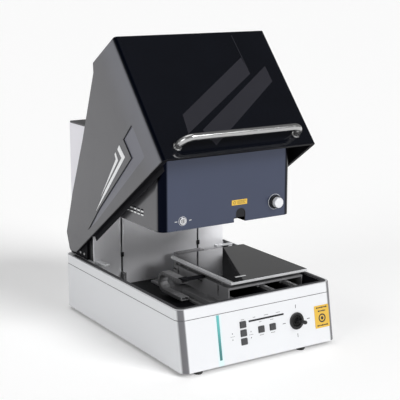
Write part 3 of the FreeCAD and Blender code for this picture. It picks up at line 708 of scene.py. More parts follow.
class Shape:
    """A mesh under construction. Its parts are drawn in local axes and set down by a matrix."""

    def __init__(self, place=None):
        self.bm = bmesh.new()
        self.place = place or Matrix()

    def settle(self, verts, ease, ink):
        """Ease the new part's edges, colour it and move it to its place."""
        faces = list({face for vert in verts for face in vert.link_faces})
        bmesh.ops.recalc_face_normals(self.bm, faces=faces)
        for face in faces:
            face.material_index = ink
        if ease:
            sharp = [edge for edge in {e for v in verts for e in v.link_edges}
                     if edge.is_manifold and edge.calc_face_angle() > 0.5]
            done = bmesh.ops.bevel(self.bm, geom=sharp, offset=ease, segments=2, profile=0.6,
                                   affect="EDGES", clamp_overlap=True)
            verts = list({v for f in done["faces"] for v in f.verts}
                         | {v for v in verts if v.is_valid})
        bmesh.ops.transform(self.bm, matrix=self.place, verts=verts)

    def block(self, low, high, ease=0.0, ink=0):
        low, high = Vector(low), Vector(high)
        middle = Matrix.Translation((low + high) / 2) @ Matrix.Diagonal((*(high - low), 1.0))
        made_verts = bmesh.ops.create_cube(self.bm, size=1.0, matrix=middle)["verts"]
        self.settle(made_verts, ease, ink)

    def prism(self, outline, low, high, ease=0.0, ink=0):
        """A flat outline, given as X and Y, pushed from one height to another."""
        rings = [[self.bm.verts.new((x, y, z)) for x, y in outline] for z in (low, high)]
        count = len(outline)
        self.bm.faces.new(rings[0])
        self.bm.faces.new(rings[1])
        for i in range(count):
            j = (i + 1) % count
            self.bm.faces.new((rings[0][i], rings[0][j], rings[1][j], rings[1][i]))
        self.settle(rings[0] + rings[1], ease, ink)

    def lathe(self, profile, steps=40, ink=0, turn=None):
        """A profile of radius and height, turned about local Z. A closed ring needs no pole."""
        rings = []
        for radius, height in profile:
            if radius < 1e-7:
                rings.append([self.bm.verts.new((0, 0, height))])
                continue
            rings.append([self.bm.verts.new((radius * math.cos(a), radius * math.sin(a), height))
                          for a in (math.tau * k / steps for k in range(steps))])
        closed = profile[0][0] > 1e-7
        pairs = list(zip(rings, rings[1:] + rings[:1])) if closed else list(zip(rings, rings[1:]))
        for a, b in pairs:
            for k in range(steps):
                m = (k + 1) % steps
                ring = [a[k % len(a)], a[m % len(a)], b[m % len(b)], b[k % len(b)]]
                corners = list(dict.fromkeys(ring))
                if len(corners) > 2:
                    self.bm.faces.new(corners)
        verts = [v for ring in rings for v in ring]
        if turn:
            bmesh.ops.transform(self.bm, matrix=turn, verts=verts)
        self.settle(verts, 0.0, ink)

    def rod(self, points, radius, sides=12, ink=0):
        """A round rod through a few points."""
        points = [Vector(p) for p in points]
        rings = []
        for i, point in enumerate(points):
            ahead = (points[min(i + 1, len(points) - 1)] - points[max(i - 1, 0)]).normalized()
            level = ahead.orthogonal().normalized() if i == 0 else level
            level = (level - ahead * level.dot(ahead)).normalized()
            other = ahead.cross(level)
            rings.append([self.bm.verts.new(point + radius * (math.cos(a) * level
                                                              + math.sin(a) * other))
                          for a in (math.tau * k / sides for k in range(sides))])
        for a, b in zip(rings, rings[1:]):
            for k in range(sides):
                m = (k + 1) % sides
                self.bm.faces.new((a[k], a[m], b[m], b[k]))
        self.bm.faces.new(rings[0])
        self.bm.faces.new(rings[-1])
        self.settle([v for ring in rings for v in ring], 0.0, ink)

    def mesh(self, name):
        made_mesh = bpy.data.meshes.new(name)
        self.bm.to_mesh(made_mesh)
        self.bm.free()
        return made_mesh

    def piece(self, name, body, slot, *finishes):
        """Make the shape a piece. Without finishes it has the one named as its slot."""
        return piece(name, self.mesh(name), body, slot, finishes or (slot,))


def smooth(mesh, angle=SHARP_DEG):
    mesh.polygons.foreach_set("use_smooth", [True] * len(mesh.polygons))
    if angle:
        mesh.set_sharp_from_angle(angle=math.radians(angle))


def piece(name, mesh, body, slot, finishes, angle=SHARP_DEG):
    """A finished piece at the origin, riding on a body and named for a slot."""
    mesh.materials.clear()
    for finish in finishes:
        mesh.materials.append(made(finish))
    smooth(mesh, angle)
    result = bpy.data.objects.new(name, mesh)
    bpy.context.scene.collection.objects.link(result)
    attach(result, body)
    return result


def body_of_node(node):
    for body, members in frame["record"]["behaviour"]["bodies"].items():
        if node in members:
            return body
    raise KeyError(node)


def arc(centre, radius, start, end, steps):
    """Points of a flat arc, angles in degrees."""
    angles = (math.radians(start + (end - start) * k / steps) for k in range(steps + 1))
    return [(centre[0] + radius * math.cos(a), centre[1] + radius * math.sin(a)) for a in angles]


def rounded(low, high, radius, steps=4):
    """The outline of a flat rectangle with round corners."""
    (x0, y0), (x1, y1) = low, high
    centres = ((x1 - radius, y1 - radius), (x0 + radius, y1 - radius),
               (x0 + radius, y0 + radius), (x1 - radius, y0 + radius))
    points = []
    for k, centre in enumerate(centres):
        points += arc(centre, radius, 90.0 * k, 90.0 * k + 90.0, steps)
    return points


def crease(mesh):
    """Keep the shallow facets of an upright sheet's broad face apart in the shading."""
    sides = {}
    for face in mesh.polygons:
        if abs(face.normal.x) > 0.97:
            for key in face.edge_keys:
                sides.setdefault(key, []).append(face.normal)
    for edge in mesh.edges:
        normals = sides.get(edge.key, ())
        if len(normals) == 2 and normals[0].angle(normals[1]) > FACET_TURN:
            edge.use_edge_sharp = True


def eased(node, width, choose=None, finishes=None):
    """Stands for a CAD sheet or block, with its loose triangles joined and its edges eased.
    choose gives a face's material from its centre and direction."""
    source = frame["nodes"][node].data
    bm = bmesh.new()
    bm.from_mesh(source)
    bmesh.ops.remove_doubles(bm, verts=bm.verts, dist=MERGE_DISTANCE)
    bmesh.ops.dissolve_limit(bm, angle_limit=FLAT_TURN, verts=bm.verts, edges=bm.edges)
    mesh = bpy.data.meshes.new("eased_" + node)
    bm.to_mesh(mesh)
    bm.free()
    mesh.materials.clear()
    smooth(mesh)
    if node.startswith("hood_side"):
        crease(mesh)
    draft = bpy.data.objects.new("draft", mesh)
    bpy.context.scene.collection.objects.link(draft)
    rim = draft.modifiers.new("rim", "BEVEL")
    rim.width = width
    rim.segments = 2
    rim.limit_method = "ANGLE"
    rim.angle_limit = math.radians(RIM_DEG)
    rim.use_clamp_overlap = True
    flat = draft.modifiers.new("flat", "WEIGHTED_NORMAL")
    flat.weight = 100
    flat.keep_sharp = True
    result_mesh = baked(draft, "eased_" + node)
    finishes = finishes or (node_finish(node),)
    result = piece("eased_" + node, result_mesh, body_of_node(node), slot_of(node), finishes,
                   angle=None)
    if choose:
        for face in result_mesh.polygons:
            face.material_index = choose(face.center, face.normal)
    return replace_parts(result, node)


def baked(draft, name):
    """The draft with its modifiers applied, as a plain mesh. The draft is removed."""
    graph = bpy.context.evaluated_depsgraph_get()
    mesh = bpy.data.meshes.new_from_object(draft.evaluated_get(graph))
    mesh.name = name
    old = draft.data
    bpy.data.objects.remove(draft)
    if old.users == 0 and isinstance(old, bpy.types.Mesh):
        bpy.data.meshes.remove(old)
    return mesh


# ---- geometry node trees -----------------------------------------------------------------------
NODE_KINDS = {"Geometry": "NodeSocketGeometry", "Piece": "NodeSocketObject",
              "Finish": "NodeSocketMaterial"}


def pattern(name, inputs):
    """A geometry tree with a Geometry input and named sizes, and a graph to fill it."""
    tree = bpy.data.node_groups.new(name, "GeometryNodeTree")
    tree.interface.new_socket("Geometry", in_out="OUTPUT", socket_type="NodeSocketGeometry")
    tree.interface.new_socket("Geometry", in_out="INPUT", socket_type="NodeSocketGeometry")
    for label, value in inputs.items():
        kind = NODE_KINDS.get(label, "NodeSocketInt" if isinstance(value, int)
                              else "NodeSocketFloat")
        socket = tree.interface.new_socket(label, in_out="INPUT", socket_type=kind)
        if value is not None:
            socket.default_value = value
    graph = Graph(tree)
    return tree, graph, tree.nodes.new("NodeGroupInput").outputs


def close_pattern(graph, geometry, finish):
    real = graph.add("GeometryNodeRealizeInstances", {"Geometry": geometry})
    painted = graph.add("GeometryNodeSetMaterial", {"Geometry": real.outputs[0],
                                                    "Material": finish})
    graph.add("NodeGroupOutput", {"Geometry": painted.outputs[0]})


def stored(graph, name):
    return graph.add("GeometryNodeInputNamedAttribute", {"Name": name},
                     data_type="FLOAT_VECTOR").outputs[0]


def copy_to(graph, given, points, first, axis, second, other):
    """The piece on every point, one axis along the first direction, another near the second."""
    face = graph.add("FunctionNodeAlignRotationToVector", {"Vector": first}, axis=axis)
    spin = graph.add("FunctionNodeAlignRotationToVector",
                     {"Rotation": face.outputs[0], "Vector": second}, axis=other,
                     pivot_axis=axis)
    part = graph.add("GeometryNodeObjectInfo", {"Object": given["Piece"]})
    copies = graph.add("GeometryNodeInstanceOnPoints",
                       {"Points": points, "Instance": part.outputs["Geometry"],
                        "Rotation": spin.outputs[0]})
    close_pattern(graph, copies.outputs[0], given["Finish"])


def place_on_points():
    """A small part on each point, turned to the point's stored directions."""
    tree, graph, given = pattern("Place on Points", {"Piece": None, "Finish": None})
    copy_to(graph, given, given["Geometry"], stored(graph, "out"), "Z", stored(graph, "along"),
            "X")
    return tree


def place_along_path():
    """A link at every pitch of a path, with its length along the path."""
    tree, graph, given = pattern("Place along Path", {"Piece": None, "Pitch": 0.01,
                                                      "Finish": None})
    path = graph.add("GeometryNodeMeshToCurve", {"Mesh": given["Geometry"]})
    beads = graph.add("GeometryNodeResampleCurve", {"Curve": path.outputs[0],
                                                    "Length": given["Pitch"]}, mode="LENGTH")
    ahead = graph.add("GeometryNodeInputTangent").outputs[0]
    copy_to(graph, given, beads.outputs[0], ahead, "X", stored(graph, "out"), "Y")
    return tree


def wire_rings():
    """Concentric wire rings round each point, evenly spaced."""
    tree, graph, given = pattern("Wire Rings", {"Rings": 5, "First": 0.02, "Step": 0.01,
                                                "Wire": 0.001, "Finish": None})
    line = graph.add("GeometryNodeMeshLine", {"Count": given["Rings"], "Offset": (0, 0, 0)})
    order = graph.add("GeometryNodeInputIndex").outputs[0]
    step = graph.product(order, given["Step"])
    radius = graph.math("ADD", given["First"], step)
    circle = graph.add("GeometryNodeCurvePrimitiveCircle", {"Resolution": 64, "Radius": 1.0})
    rings = graph.add("GeometryNodeInstanceOnPoints",
                      {"Points": line.outputs[0], "Instance": circle.outputs[0],
                       "Scale": radius})
    real = graph.add("GeometryNodeRealizeInstances", {"Geometry": rings.outputs[0]})
    profile = graph.add("GeometryNodeCurvePrimitiveCircle", {"Resolution": 8,
                                                             "Radius": given["Wire"]})
    wires = graph.add("GeometryNodeCurveToMesh", {"Curve": real.outputs[0],
                                                  "Profile Curve": profile.outputs[0]})
    close_pattern(graph, wires.outputs[0], given["Finish"])
    return tree


PATTERNS = {}


def grow(name, build, points, body, slot, finish, part=None, edges=(), **sizes):
    """Run a pattern on points, each a place, an outward direction and a direction along, and
    keep the result as a plain piece."""
    if build not in PATTERNS:
        PATTERNS[build] = build()
    tree = PATTERNS[build]
    mesh = bpy.data.meshes.new(name)
    mesh.from_pydata([p[0] for p in points], edges, [])
    for label, index in (("out", 1), ("along", 2)):
        turns = mesh.attributes.new(label, "FLOAT_VECTOR", "POINT")
        turns.data.foreach_set("vector", [c for p in points for c in p[index]])
    draft = bpy.data.objects.new("draft", mesh)
    bpy.context.scene.collection.objects.link(draft)
    values = {"Finish": made(finish), "Piece": part}
    values.update({key.replace("_", " "): value for key, value in sizes.items()})
    modifier = draft.modifiers.new("pattern", "NODES")
    modifier.node_group = tree
    for item in tree.interface.items_tree:
        if item.in_out == "INPUT" and values.get(item.name) is not None:
            modifier[item.identifier] = values[item.name]
    result = piece(name, baked(draft, name), body, slot, (finish,))
    if part:
        bpy.data.objects.remove(part)
    return result


def spare_part(shape):
    """A small part for a pattern to copy. It stands for nothing by itself."""
    mesh = shape.mesh("part")
    smooth(mesh)
    result = bpy.data.objects.new("part", mesh)
    bpy.context.scene.collection.objects.link(result)
    return result


def scatter(name, rows, shape, finish, body="base", slot=None):
    """Copy a small shape to every row."""
    return grow(name, place_on_points, rows, body, slot or finish, finish, spare_part(shape))


def spots(place, positions, along=(1, 0, 0)):
    """Points on a face: local X, Y and Z, with the face's own outward direction."""
    turn = place.to_3x3()
    return [(place @ Vector(p), turn @ Z_AXIS, turn @ Vector(along)) for p in positions]


def grid(xs, ys, z=0.0):
    return [(x, y, z) for x in xs for y in ys]


def span(start, end, count):
    """Evenly spaced values, both ends included."""
    return [start + (end - start) * k / (count - 1) for k in range(count)]


# ---- operators ---------------------------------------------------------------------------------
class PieceOperator:
    """What every operator here shares."""

    def execute(self, context):
        self.build(context.scene.analyser_sizes)
        return {"FINISHED"}


class ANALYSER_OT_node_finishes(PieceOperator, bpy.types.Operator):
    """Give each CAD node its finish"""
    bl_idname = "analyser.node_finishes"
    bl_label = "Node finishes"

    def build(self, sizes):
        for name, node in frame["nodes"].items():
            finish = made(node_finish(name))
            if not node.material_slots:
                raise RuntimeError(name + " has no material slot")
            for slot in node.material_slots:
                slot.material = finish


class ANALYSER_OT_sheet_metal(PieceOperator, bpy.types.Operator):
    """Ease the edges of the base, column, cabinet and head"""
    bl_idname = "analyser.sheet_metal"
    bl_label = "Sheet metal"

    def build(self, sizes):
        for node in ("base_housing", "top_frame", "cabinet_shell", "cabinet_top", "rear_panel",
                     "column_panel", "head_shell", "head_floor", "bottom_plate",
                     "hinge_brackets"):
            eased(node, sizes.edge)


class ANALYSER_OT_hood_panels(PieceOperator, bpy.types.Operator):
    """Ease the hood's panels and line them in black"""
    bl_idname = "analyser.hood_panels"
    bl_label = "Hood panels"

    def build(self, sizes):
        face = hood_face()
        out = face.to_3x3() @ Z_AXIS
        top = swung((0, -0.2, 0.7)) - swung((0, -0.2, 0.6))
        for node, outer in (("hood_side_left", -X_AXIS), ("hood_side_right", X_AXIS),
                            ("hood_front_panel", out), ("hood_top_panel", top)):
            def inside(centre, normal, outer=outer):
                hidden = abs(outer.x) > 0.5 and abs(centre.x) < HALF_WIDTH - HOOD_RIM
                return int(hidden or normal.dot(outer) < 0.3 * outer.length)
            eased(node, sizes.edge, inside, (node_finish(node), "dark_paint"))
        eased("hood_hinge_plates", sizes.edge)
        eased("hood_handle", sizes.fine_edge)
        eased("hood_inlays", FILM_EDGE)


class ANALYSER_OT_hood_reflection_bands(PieceOperator, bpy.types.Operator):
    """Lay two bands and a fine line of painted reflection, in smoke grey film, on the hood's gloss front"""
    bl_idname = "analyser.hood_bands"
    bl_label = "Hood bands"

    def build(self, sizes):
        shape = Shape(hood_face())
        for outline in REFLECTION_BANDS:
            shape.prism([(x * MM, y * MM) for x, y in outline], -0.05 * MM, 0.12 * MM)
        shape.piece("hood_bands", "hood", "hood_black", "painted_reflection_bands")


def ribbon(path, width):
    """The outline of an even ribbon along an open flat path."""
    left, right = [], []
    for i, point in enumerate(path):
        before = Vector(path[max(i - 1, 0)])
        after = Vector(path[min(i + 1, len(path) - 1)])
        here = Vector(point)
        steps = [s.normalized() for s in (here - before, after - here) if s.length > 1e-9]
        ahead = sum(steps, Vector((0, 0))).normalized()
        side = Vector((-ahead.y, ahead.x))
        spread = width / 2 / max(0.35, side.dot(Vector((-steps[0].y, steps[0].x))))
        left.append(tuple(here + side * spread))
        right.append(tuple(here - side * spread))
    return left + right[::-1]


class ANALYSER_OT_side_grooves(PieceOperator, bpy.types.Operator):
    """Draw the dark styling groove and the lower edge seal of the hood's sides"""
    bl_idname = "analyser.side_grooves"
    bl_label = "Side grooves"

    def build(self, sizes):
        for side, name in ((-1, "left"), (1, "right")):
            low, high, _ = box_of("hood_side_" + name)
            skin = high.x if side > 0 else low.x
            closed = frame_at(Vector((skin, 0, 0)), Y_AXIS, Z_AXIS, X_AXIS)
            about = Matrix.Translation(PIVOT) @ HOOD_TURN @ Matrix.Translation(-PIVOT)
            shape = Shape(about @ closed)
            depth = sorted((-3.2 * MM * side, 0.10 * MM * side))
            shape.prism(ribbon(GROOVE, sizes.inlay_gap), *depth)
            shape.prism(ribbon(LOWER_EDGE, sizes.inlay_gap * 1.1),
                        *sorted((-4.6 * MM * side, 0.15 * MM * side)))
            shape.piece("groove_" + name, "hood", "hood_black", "groove_black")


def latch(shape, along, across, level, turned=False):
    """A bar on the rim, with a grip at its start and a dark post at its end. Turned, it lies
    along Y."""
    def part(a0, a1, b0, b1, low, high, ease, ink):
        corners = ((a0, b0), (a1, b1))
        (x0, y0), (x1, y1) = [c[::-1] for c in corners] if turned else corners
        shape.block((x0, y0, level + low), (x1, y1, level + high), ease, ink)

    (start, end), (near, far) = along, across
    part(start, end, near, far, 0.002, 0.008, 0.0012, 0)
    part(start - 0.011, start + 0.002, near - 0.001, far + 0.001, 0, 0.009, 0.0015, 1)
    part(end - 0.012, end, near + 0.002, far - 0.002, -0.030, 0.002, 0.001, 1)


class ANALYSER_OT_well(PieceOperator, bpy.types.Operator):
    """Ease the seal and the well's liner, and add the door latches beside the column"""
    bl_idname = "analyser.well"
    bl_label = "Well and latches"

    def build(self, sizes):
        for node in ("rim_seal", "well_liner", "chamber_deck"):
            eased(node, sizes.fine_edge)
        rim = box_of("rim_seal")[1]
        column = box_of("column_panel")[0].y
        edge = box_of("well_liner")[1].x
        shape = Shape()
        latch(shape, (edge - 0.058, edge - 0.002), (column - 0.056, column - 0.042), rim.z)
        latch(shape, (column - 0.060, column - 0.001), (-edge + 0.012, -edge + 0.028), rim.z,
              turned=True)
        shape.piece("door_latches", "base", "aluminium", "aluminium", "black_plastic")


GASKET_OUTER, GASKET_INNER = 0.99995, 0.992     # shares of the base's outline
GASKET_HALF = 0.0009
SEAM_DEPTH = 0.0002


class ANALYSER_OT_seam(PieceOperator, bpy.types.Operator):
    """Run a grey gasket round the seam between the base and its top frame; its dark line is partly painted shade
    for the seam gap
    """
    bl_idname = "analyser.seam"
    bl_label = "Seam gasket"

    def build(self, sizes):
        housing = [v.co for v in frame["nodes"]["base_housing"].data.vertices]
        top = max(corner.z for corner in housing)
        outer = hull_of([corner for corner in housing if corner.z > top - SEAM_DEPTH])
        # partly painted shade: the grey gasket darkens the seam line where the gap's shadow falls
        shape = Shape()
        low, high = top - GASKET_HALF, top + GASKET_HALF
        rings = [[shape.bm.verts.new((x * share, y * share, z)) for x, y in outer]
                 for share, z in ((GASKET_OUTER, low), (GASKET_OUTER, high),
                                  (GASKET_INNER, high), (GASKET_INNER, low))]
        for ring, after in zip(rings, rings[1:] + rings[:1]):
            for k in range(len(ring)):
                shape.bm.faces.new((ring[k - 1], ring[k], after[k], after[k - 1]))
        shape.piece("seam_gasket", "base", "cover_grey")


def hull_of(points):
    """The outer points of a flat set, in order."""
    points = sorted({(round(p.x, 6), round(p.y, 6)) for p in points})
    halves = []
    for row in (points, points[::-1]):
        half = []
        for p in row:
            while len(half) > 1 and ((half[-1][0] - half[-2][0]) * (p[1] - half[-2][1])
                                     - (half[-1][1] - half[-2][1]) * (p[0] - half[-2][0])) <= 0:
                half.pop()
            half.append(p)
        halves.append(half[:-1])
    return halves[0] + halves[1]


class ANALYSER_OT_slot_guides(PieceOperator, bpy.types.Operator):
    """Add the lift's dark guides that show in the column's slots"""
    bl_idname = "analyser.slot_guides"
    bl_label = "Slot guides"

    def build(self, sizes):
        front = box_of("column_panel")[0].y
        rail = box_of("lift_rails")
        guide, arm = (0.198, 0.213), (0.140, 0.210)
        inset = 0.010
        shape = Shape()
        for x in (rail[0].x + inset, rail[1].x - inset):
            for half, near, far, (low, high), ease in (
                    (0.0050, -0.0045, -0.0005, guide, 0.0010),
                    (0.0018, -0.0010, 0.0300, arm, 0.0004)):
                shape.block((x - half, front + near, low), (x + half, front + far, high), ease)
        shape.piece("slot_guides", "lift", "black_plastic")


def chain_link(pitch):
    """One link of a cable chain: two side plates, two bridges and pin bosses."""
    shape = Shape()
    for side in (-1, 1):
        outer, inner = side * 0.0148, side * 0.0118
        outline = rounded((-pitch * 0.62, -0.0056), (pitch * 0.62, 0.0056), 0.0052, 3)
        turned = Matrix.Rotation(math.radians(90), 4, "X")
        shape.place = turned
        low, high = sorted((-outer, -inner))
        shape.prism(outline, low, high, 0.0004)
        low, high = sorted((-side * 0.0152, -side * 0.0145))
        ring = arc((pitch * 0.36, 0.0), 0.0026, 0, 330, 11)
        shape.prism(ring, low, high)
    shape.place = Matrix()
    for z0, z1 in ((0.0040, 0.0056), (-0.0056, -0.0040)):
        shape.block((-pitch * 0.44, -0.0125, z0), (pitch * 0.44, 0.0125, z1), 0.0004)
    return spare_part(shape)


class ANALYSER_OT_cable_chains(PieceOperator, bpy.types.Operator):
    """Build both cable chains link by link along their bend"""
    bl_idname = "analyser.cable_chains"
    bl_label = "Cable chains"

    def build(self, sizes):
        for node, along in (("x_chain", X_AXIS), ("y_chain", -Y_AXIS)):
            low, high, centre = box_of(node)
            wide = Z_AXIS.cross(along)
            outer = (high.z - low.z) / 2
            radius = outer - 0.006
            long = abs((high - low).dot(along)) - outer
            bend = centre - along * ((long + outer) / 2 - outer)
            points = [bend + along * (long - 0.008) + Z_AXIS * radius]
            points += [bend - along * math.sin(a) * radius + Z_AXIS * math.cos(a) * radius
                       for a in span(0.0, math.pi, 25)]
            points.append(bend + along * (long - 0.008) - Z_AXIS * radius)
            rows = [(p, wide, along) for p in points]
            edges = [(k, k + 1) for k in range(len(points) - 1)]
            link = chain_link(sizes.link_pitch)
            chain = grow(node + "_links", place_along_path, rows, node, slot_of(node), "chain_grey",
                         link, edges, Pitch=sizes.link_pitch)
            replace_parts(chain, node)


class ANALYSER_OT_stage_metal(PieceOperator, bpy.types.Operator):
    """Ease the stage's blocks and give the plate its bright edges"""
    bl_idname = "analyser.stage_metal"
    bl_label = "Stage metal"

    def build(self, sizes):
        for node in ("y_rails", "x_rails", "x_table", "lift_carriage", "lift_rails"):
            eased(node, sizes.fine_edge)
        low, high, _ = box_of("stage_plate")
        chain = box_of("y_chain")

        def guard_or_bed(centre, normal):
            return int(centre.y < high.y)
        eased("stage_platform", sizes.fine_edge, guard_or_bed, ("carriage_grey", "dark_paint"))

        def side_or_arm(centre, normal):
            return int(centre.x < low.x and centre.x < chain[1].x + 0.04)
        eased("y_carriage", sizes.fine_edge, side_or_arm, ("carriage_grey", "dark_paint"))

        def rail_or_plate(centre, normal):
            on_rail = centre.x < low.x + 0.0095
            return 0 if (normal.z > 0.9 and not on_rail) or normal.z < -0.9 else 1
        eased("stage_plate", sizes.fine_edge, rail_or_plate, ("plate_dark", "aluminium"))
        shape = Shape()
        x, y = low.x + 0.044, low.y + 0.040
        shape.block((x, y, high.z - 0.0002), (x + 0.038, y + 0.007, high.z + 0.0006), 0.0002)
        shape.piece("plate_stop", "x_stage", "white_inlay")


class ANALYSER_OT_stage_covers(PieceOperator, bpy.types.Operator):
    """Add the way covers, cable tray lines and front stop of the stage bed"""
    bl_idname = "analyser.stage_covers"
    bl_label = "Stage covers"

    def build(self, sizes):
        low = box_of("stage_platform")[0]
        rails = box_of("y_rails")
        floor = low.z + 0.008
        shape = Shape()
        front, back = low.y + 0.001, low.y + 0.480
        for x0, x1, y0, y1, tall, ease in ((-0.058, 0.030, front, -0.002, 0.022, 0.0020),
                                           (-0.058, 0.030, -0.002, back, 0.010, 0.0015),
                                           (0.030, 0.046, front, back, 0.010, 0.0015),
                                           (-0.072, -0.060, front, back, 0.008, 0.0015)):
            shape.block((x0, y0, floor), (x1, y1, floor + tall), ease)
        for y in span(low.y + 0.03, -0.02, 6):
            shape.block((-0.052, y, floor + 0.0216), (0.024, y + 0.002, floor + 0.0226),
                        0.0003, 1)
        shape.piece("way_covers", "lift", "carriage_grey", "carriage_grey", "groove_black")
        stop = Shape()
        y = rails[0].y - 0.001
        stop.block((rails[0].x + 0.020, y, rails[0].z), (rails[0].x + 0.052, y + 0.009,
                                                        rails[0].z + 0.005), 0.0008)
        stop.piece("bed_stop", "lift", "white_inlay")


def screw_head(diameter):
    """A low round head with a hexagon socket."""
    r = diameter / 2
    hexagon = r * 0.46
    shape = Shape()
    shape.lathe([(0, 0), (r, 0), (r, 0.45 * r), (0.86 * r, 0.60 * r), (hexagon * 1.1, 0.62 * r),
                 (hexagon, 0.58 * r), (hexagon * 0.9, 0.20 * r), (0, 0.18 * r)], 24)
    return shape


class ANALYSER_OT_screws(PieceOperator, bpy.types.Operator):
    """Set the panel screws in the rear, the bottom, the brackets and the rails"""
    bl_idname = "analyser.screws"
    bl_label = "Screws"

    def build(self, sizes):
        rear = rear_face()
        panel = box_of("rear_panel")
        xs = span(panel[0].x + 0.012, panel[1].x - 0.012, 4)
        zs = span(panel[0].z + 0.012, panel[1].z - 0.012, 4)
        rows = spots(rear, [p for p in grid(xs, zs) if p[0] in (xs[0], xs[-1])
                            or p[1] in (zs[0], zs[-1])])
        scatter("rear_screws", rows, screw_head(sizes.screw), "steel")

        plate = box_of("bottom_plate")
        under = frame_at(Vector((0, 0, plate[0].z)), X_AXIS, -Y_AXIS, -Z_AXIS)
        around = grid((-0.23, 0.0, 0.23), (-0.36, -0.12, 0.12, 0.32))
        rows = spots(under, [p for p in around if p[0] or abs(p[1]) > 0.3])
        scatter("bottom_screws", rows, screw_head(sizes.screw), "steel")

        rows = []
        bracket = box_of("hinge_brackets")
        for side in (-1, 1):
            face = frame_at(Vector((side * bracket[1].x, bracket[0].y, bracket[0].z)),
                            Y_AXIS * side, Z_AXIS, X_AXIS * side)
            rows += spots(face, [(side * y, z, 0) for y, z in ((0.018, 0.016), (0.045, 0.016),
                                                               (0.018, 0.060))])
        scatter("bracket_screws", rows, screw_head(sizes.screw * 1.2), "steel")

        rows = []
        rails = box_of("y_rails")
        for x in (rails[0].x + 0.005, rails[1].x - 0.005):
            top = frame_at(Vector((x, 0, rails[1].z - 0.0008)), X_AXIS, Y_AXIS, Z_AXIS)
            rows += spots(top, [(0, y, 0) for y in span(rails[0].y + 0.015, rails[1].y - 0.015,
                                                        9)])
        scatter("rail_screws", rows, screw_head(0.0044), "steel", "lift")


class ANALYSER_OT_fan_guard(PieceOperator, bpy.types.Operator):
    """Build the wire guard over the rear fan"""
    bl_idname = "analyser.fan_guard"
    bl_label = "Fan guard"

    def build(self, sizes):
        fan = box_of("fan_frame")[2]
        rear = rear_face()
        rear.translation = Vector((fan.x, box_of("rear_panel")[1].y + 0.0013, fan.z))
        wire = sizes.guard_wire / 2
        rings = grow("guard_rings", wire_rings, spots(Matrix(), [(0, 0, 0)]), "base", "steel",
                     "steel", Rings=6, First=0.008, Step=0.0095, Wire=wire)
        rings.data.transform(rear)
        shape = Shape(rear)
        for k in range(4):
            turn = Matrix.Rotation(math.radians(45 + 90 * k), 3, "Z")
            ends = [turn @ Vector((r, 0, 0.0004)) for r in (0.004, 0.030, 0.064)]
            shape.rod(ends, wire, 8)
            shape.lathe([(0.003, -0.0008), (0.0045, -0.0008), (0.0045, 0.0012), (0.003, 0.0012)],
                        16, turn=Matrix.Translation(turn @ Vector((0.0665, 0, 0))))
        shape.piece("guard_spokes", "base", "steel")


class ANALYSER_OT_focus_knob(PieceOperator, bpy.types.Operator):
    """Turn the focus knob with its flutes, and print its dial"""
    bl_idname = "analyser.focus_knob"
    bl_label = "Focus knob"

    def build(self, sizes):
        place = head_face("focus_knob")
        shape = Shape(place)
        shape.lathe([(0, 0.0012), (0.0190, 0.0012), (0.0205, 0.0025), (0.0205, 0.0040),
                     (0.0193, 0.0048), (0.0193, 0.0085), (0.0180, 0.0108), (0.0, 0.0108)], 48)
        flutes = []
        for k in range(30):
            a = math.tau * k / 30
            out = Vector((math.cos(a), math.sin(a), 0))
            turn = place.to_3x3()
            flutes.append((place @ (out * 0.0190 + Z_AXIS * 0.0067), turn @ out, turn @ Z_AXIS))
        rib = Shape()
        rib.block((-0.0019, -0.0011, -0.0006), (0.0019, 0.0011, 0.0013), 0.0004)
        skirt = shape.piece("knob_skirt", "knob", "black_plastic")
        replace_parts(skirt, "focus_knob")
        scatter("knob_flutes", flutes, rib, "black_plastic", "knob")
        cap = Shape(place)
        cap.lathe([(0, 0.0106), (0.0165, 0.0106), (0.0165, 0.0215), (0.0152, 0.0236),
                   (0.0138, 0.0240), (0.0122, 0.0240), (0.0117, 0.0235), (0.0, 0.0233)], 48)
        turned = cap.piece("knob_turned_cap", "knob", "aluminium")
        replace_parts(turned, "knob_cap")
        dial = Shape(place)
        sweep = arc((0, 0), 0.0236, 20, 290, 40)
        dial.prism(ribbon(sweep, 0.0009), -0.0001, 0.0002)
        dial.piece("knob_dial", "base", "white_inlay")


class ANALYSER_OT_key_lock(PieceOperator, bpy.types.Operator):
    """Detail the key switch and its printed marks"""
    bl_idname = "analyser.key_lock"
    bl_label = "Key switch"

    def build(self, sizes):
        eased("key_bezel", sizes.fine_edge)
        eased("key_plug", 0.0002)
        marks = Shape(head_face("key_bezel"))
        for x in (-0.0225, 0.0265):
            marks.block((x - 0.0042, -0.0008, -0.0001), (x + 0.0042, 0.0008, 0.0002))
        marks.lathe([(0.0130, 0.0), (0.0138, 0.0), (0.0138, 0.0002), (0.0130, 0.0002)], 40)
        marks.piece("key_marks", "base", "white_inlay")


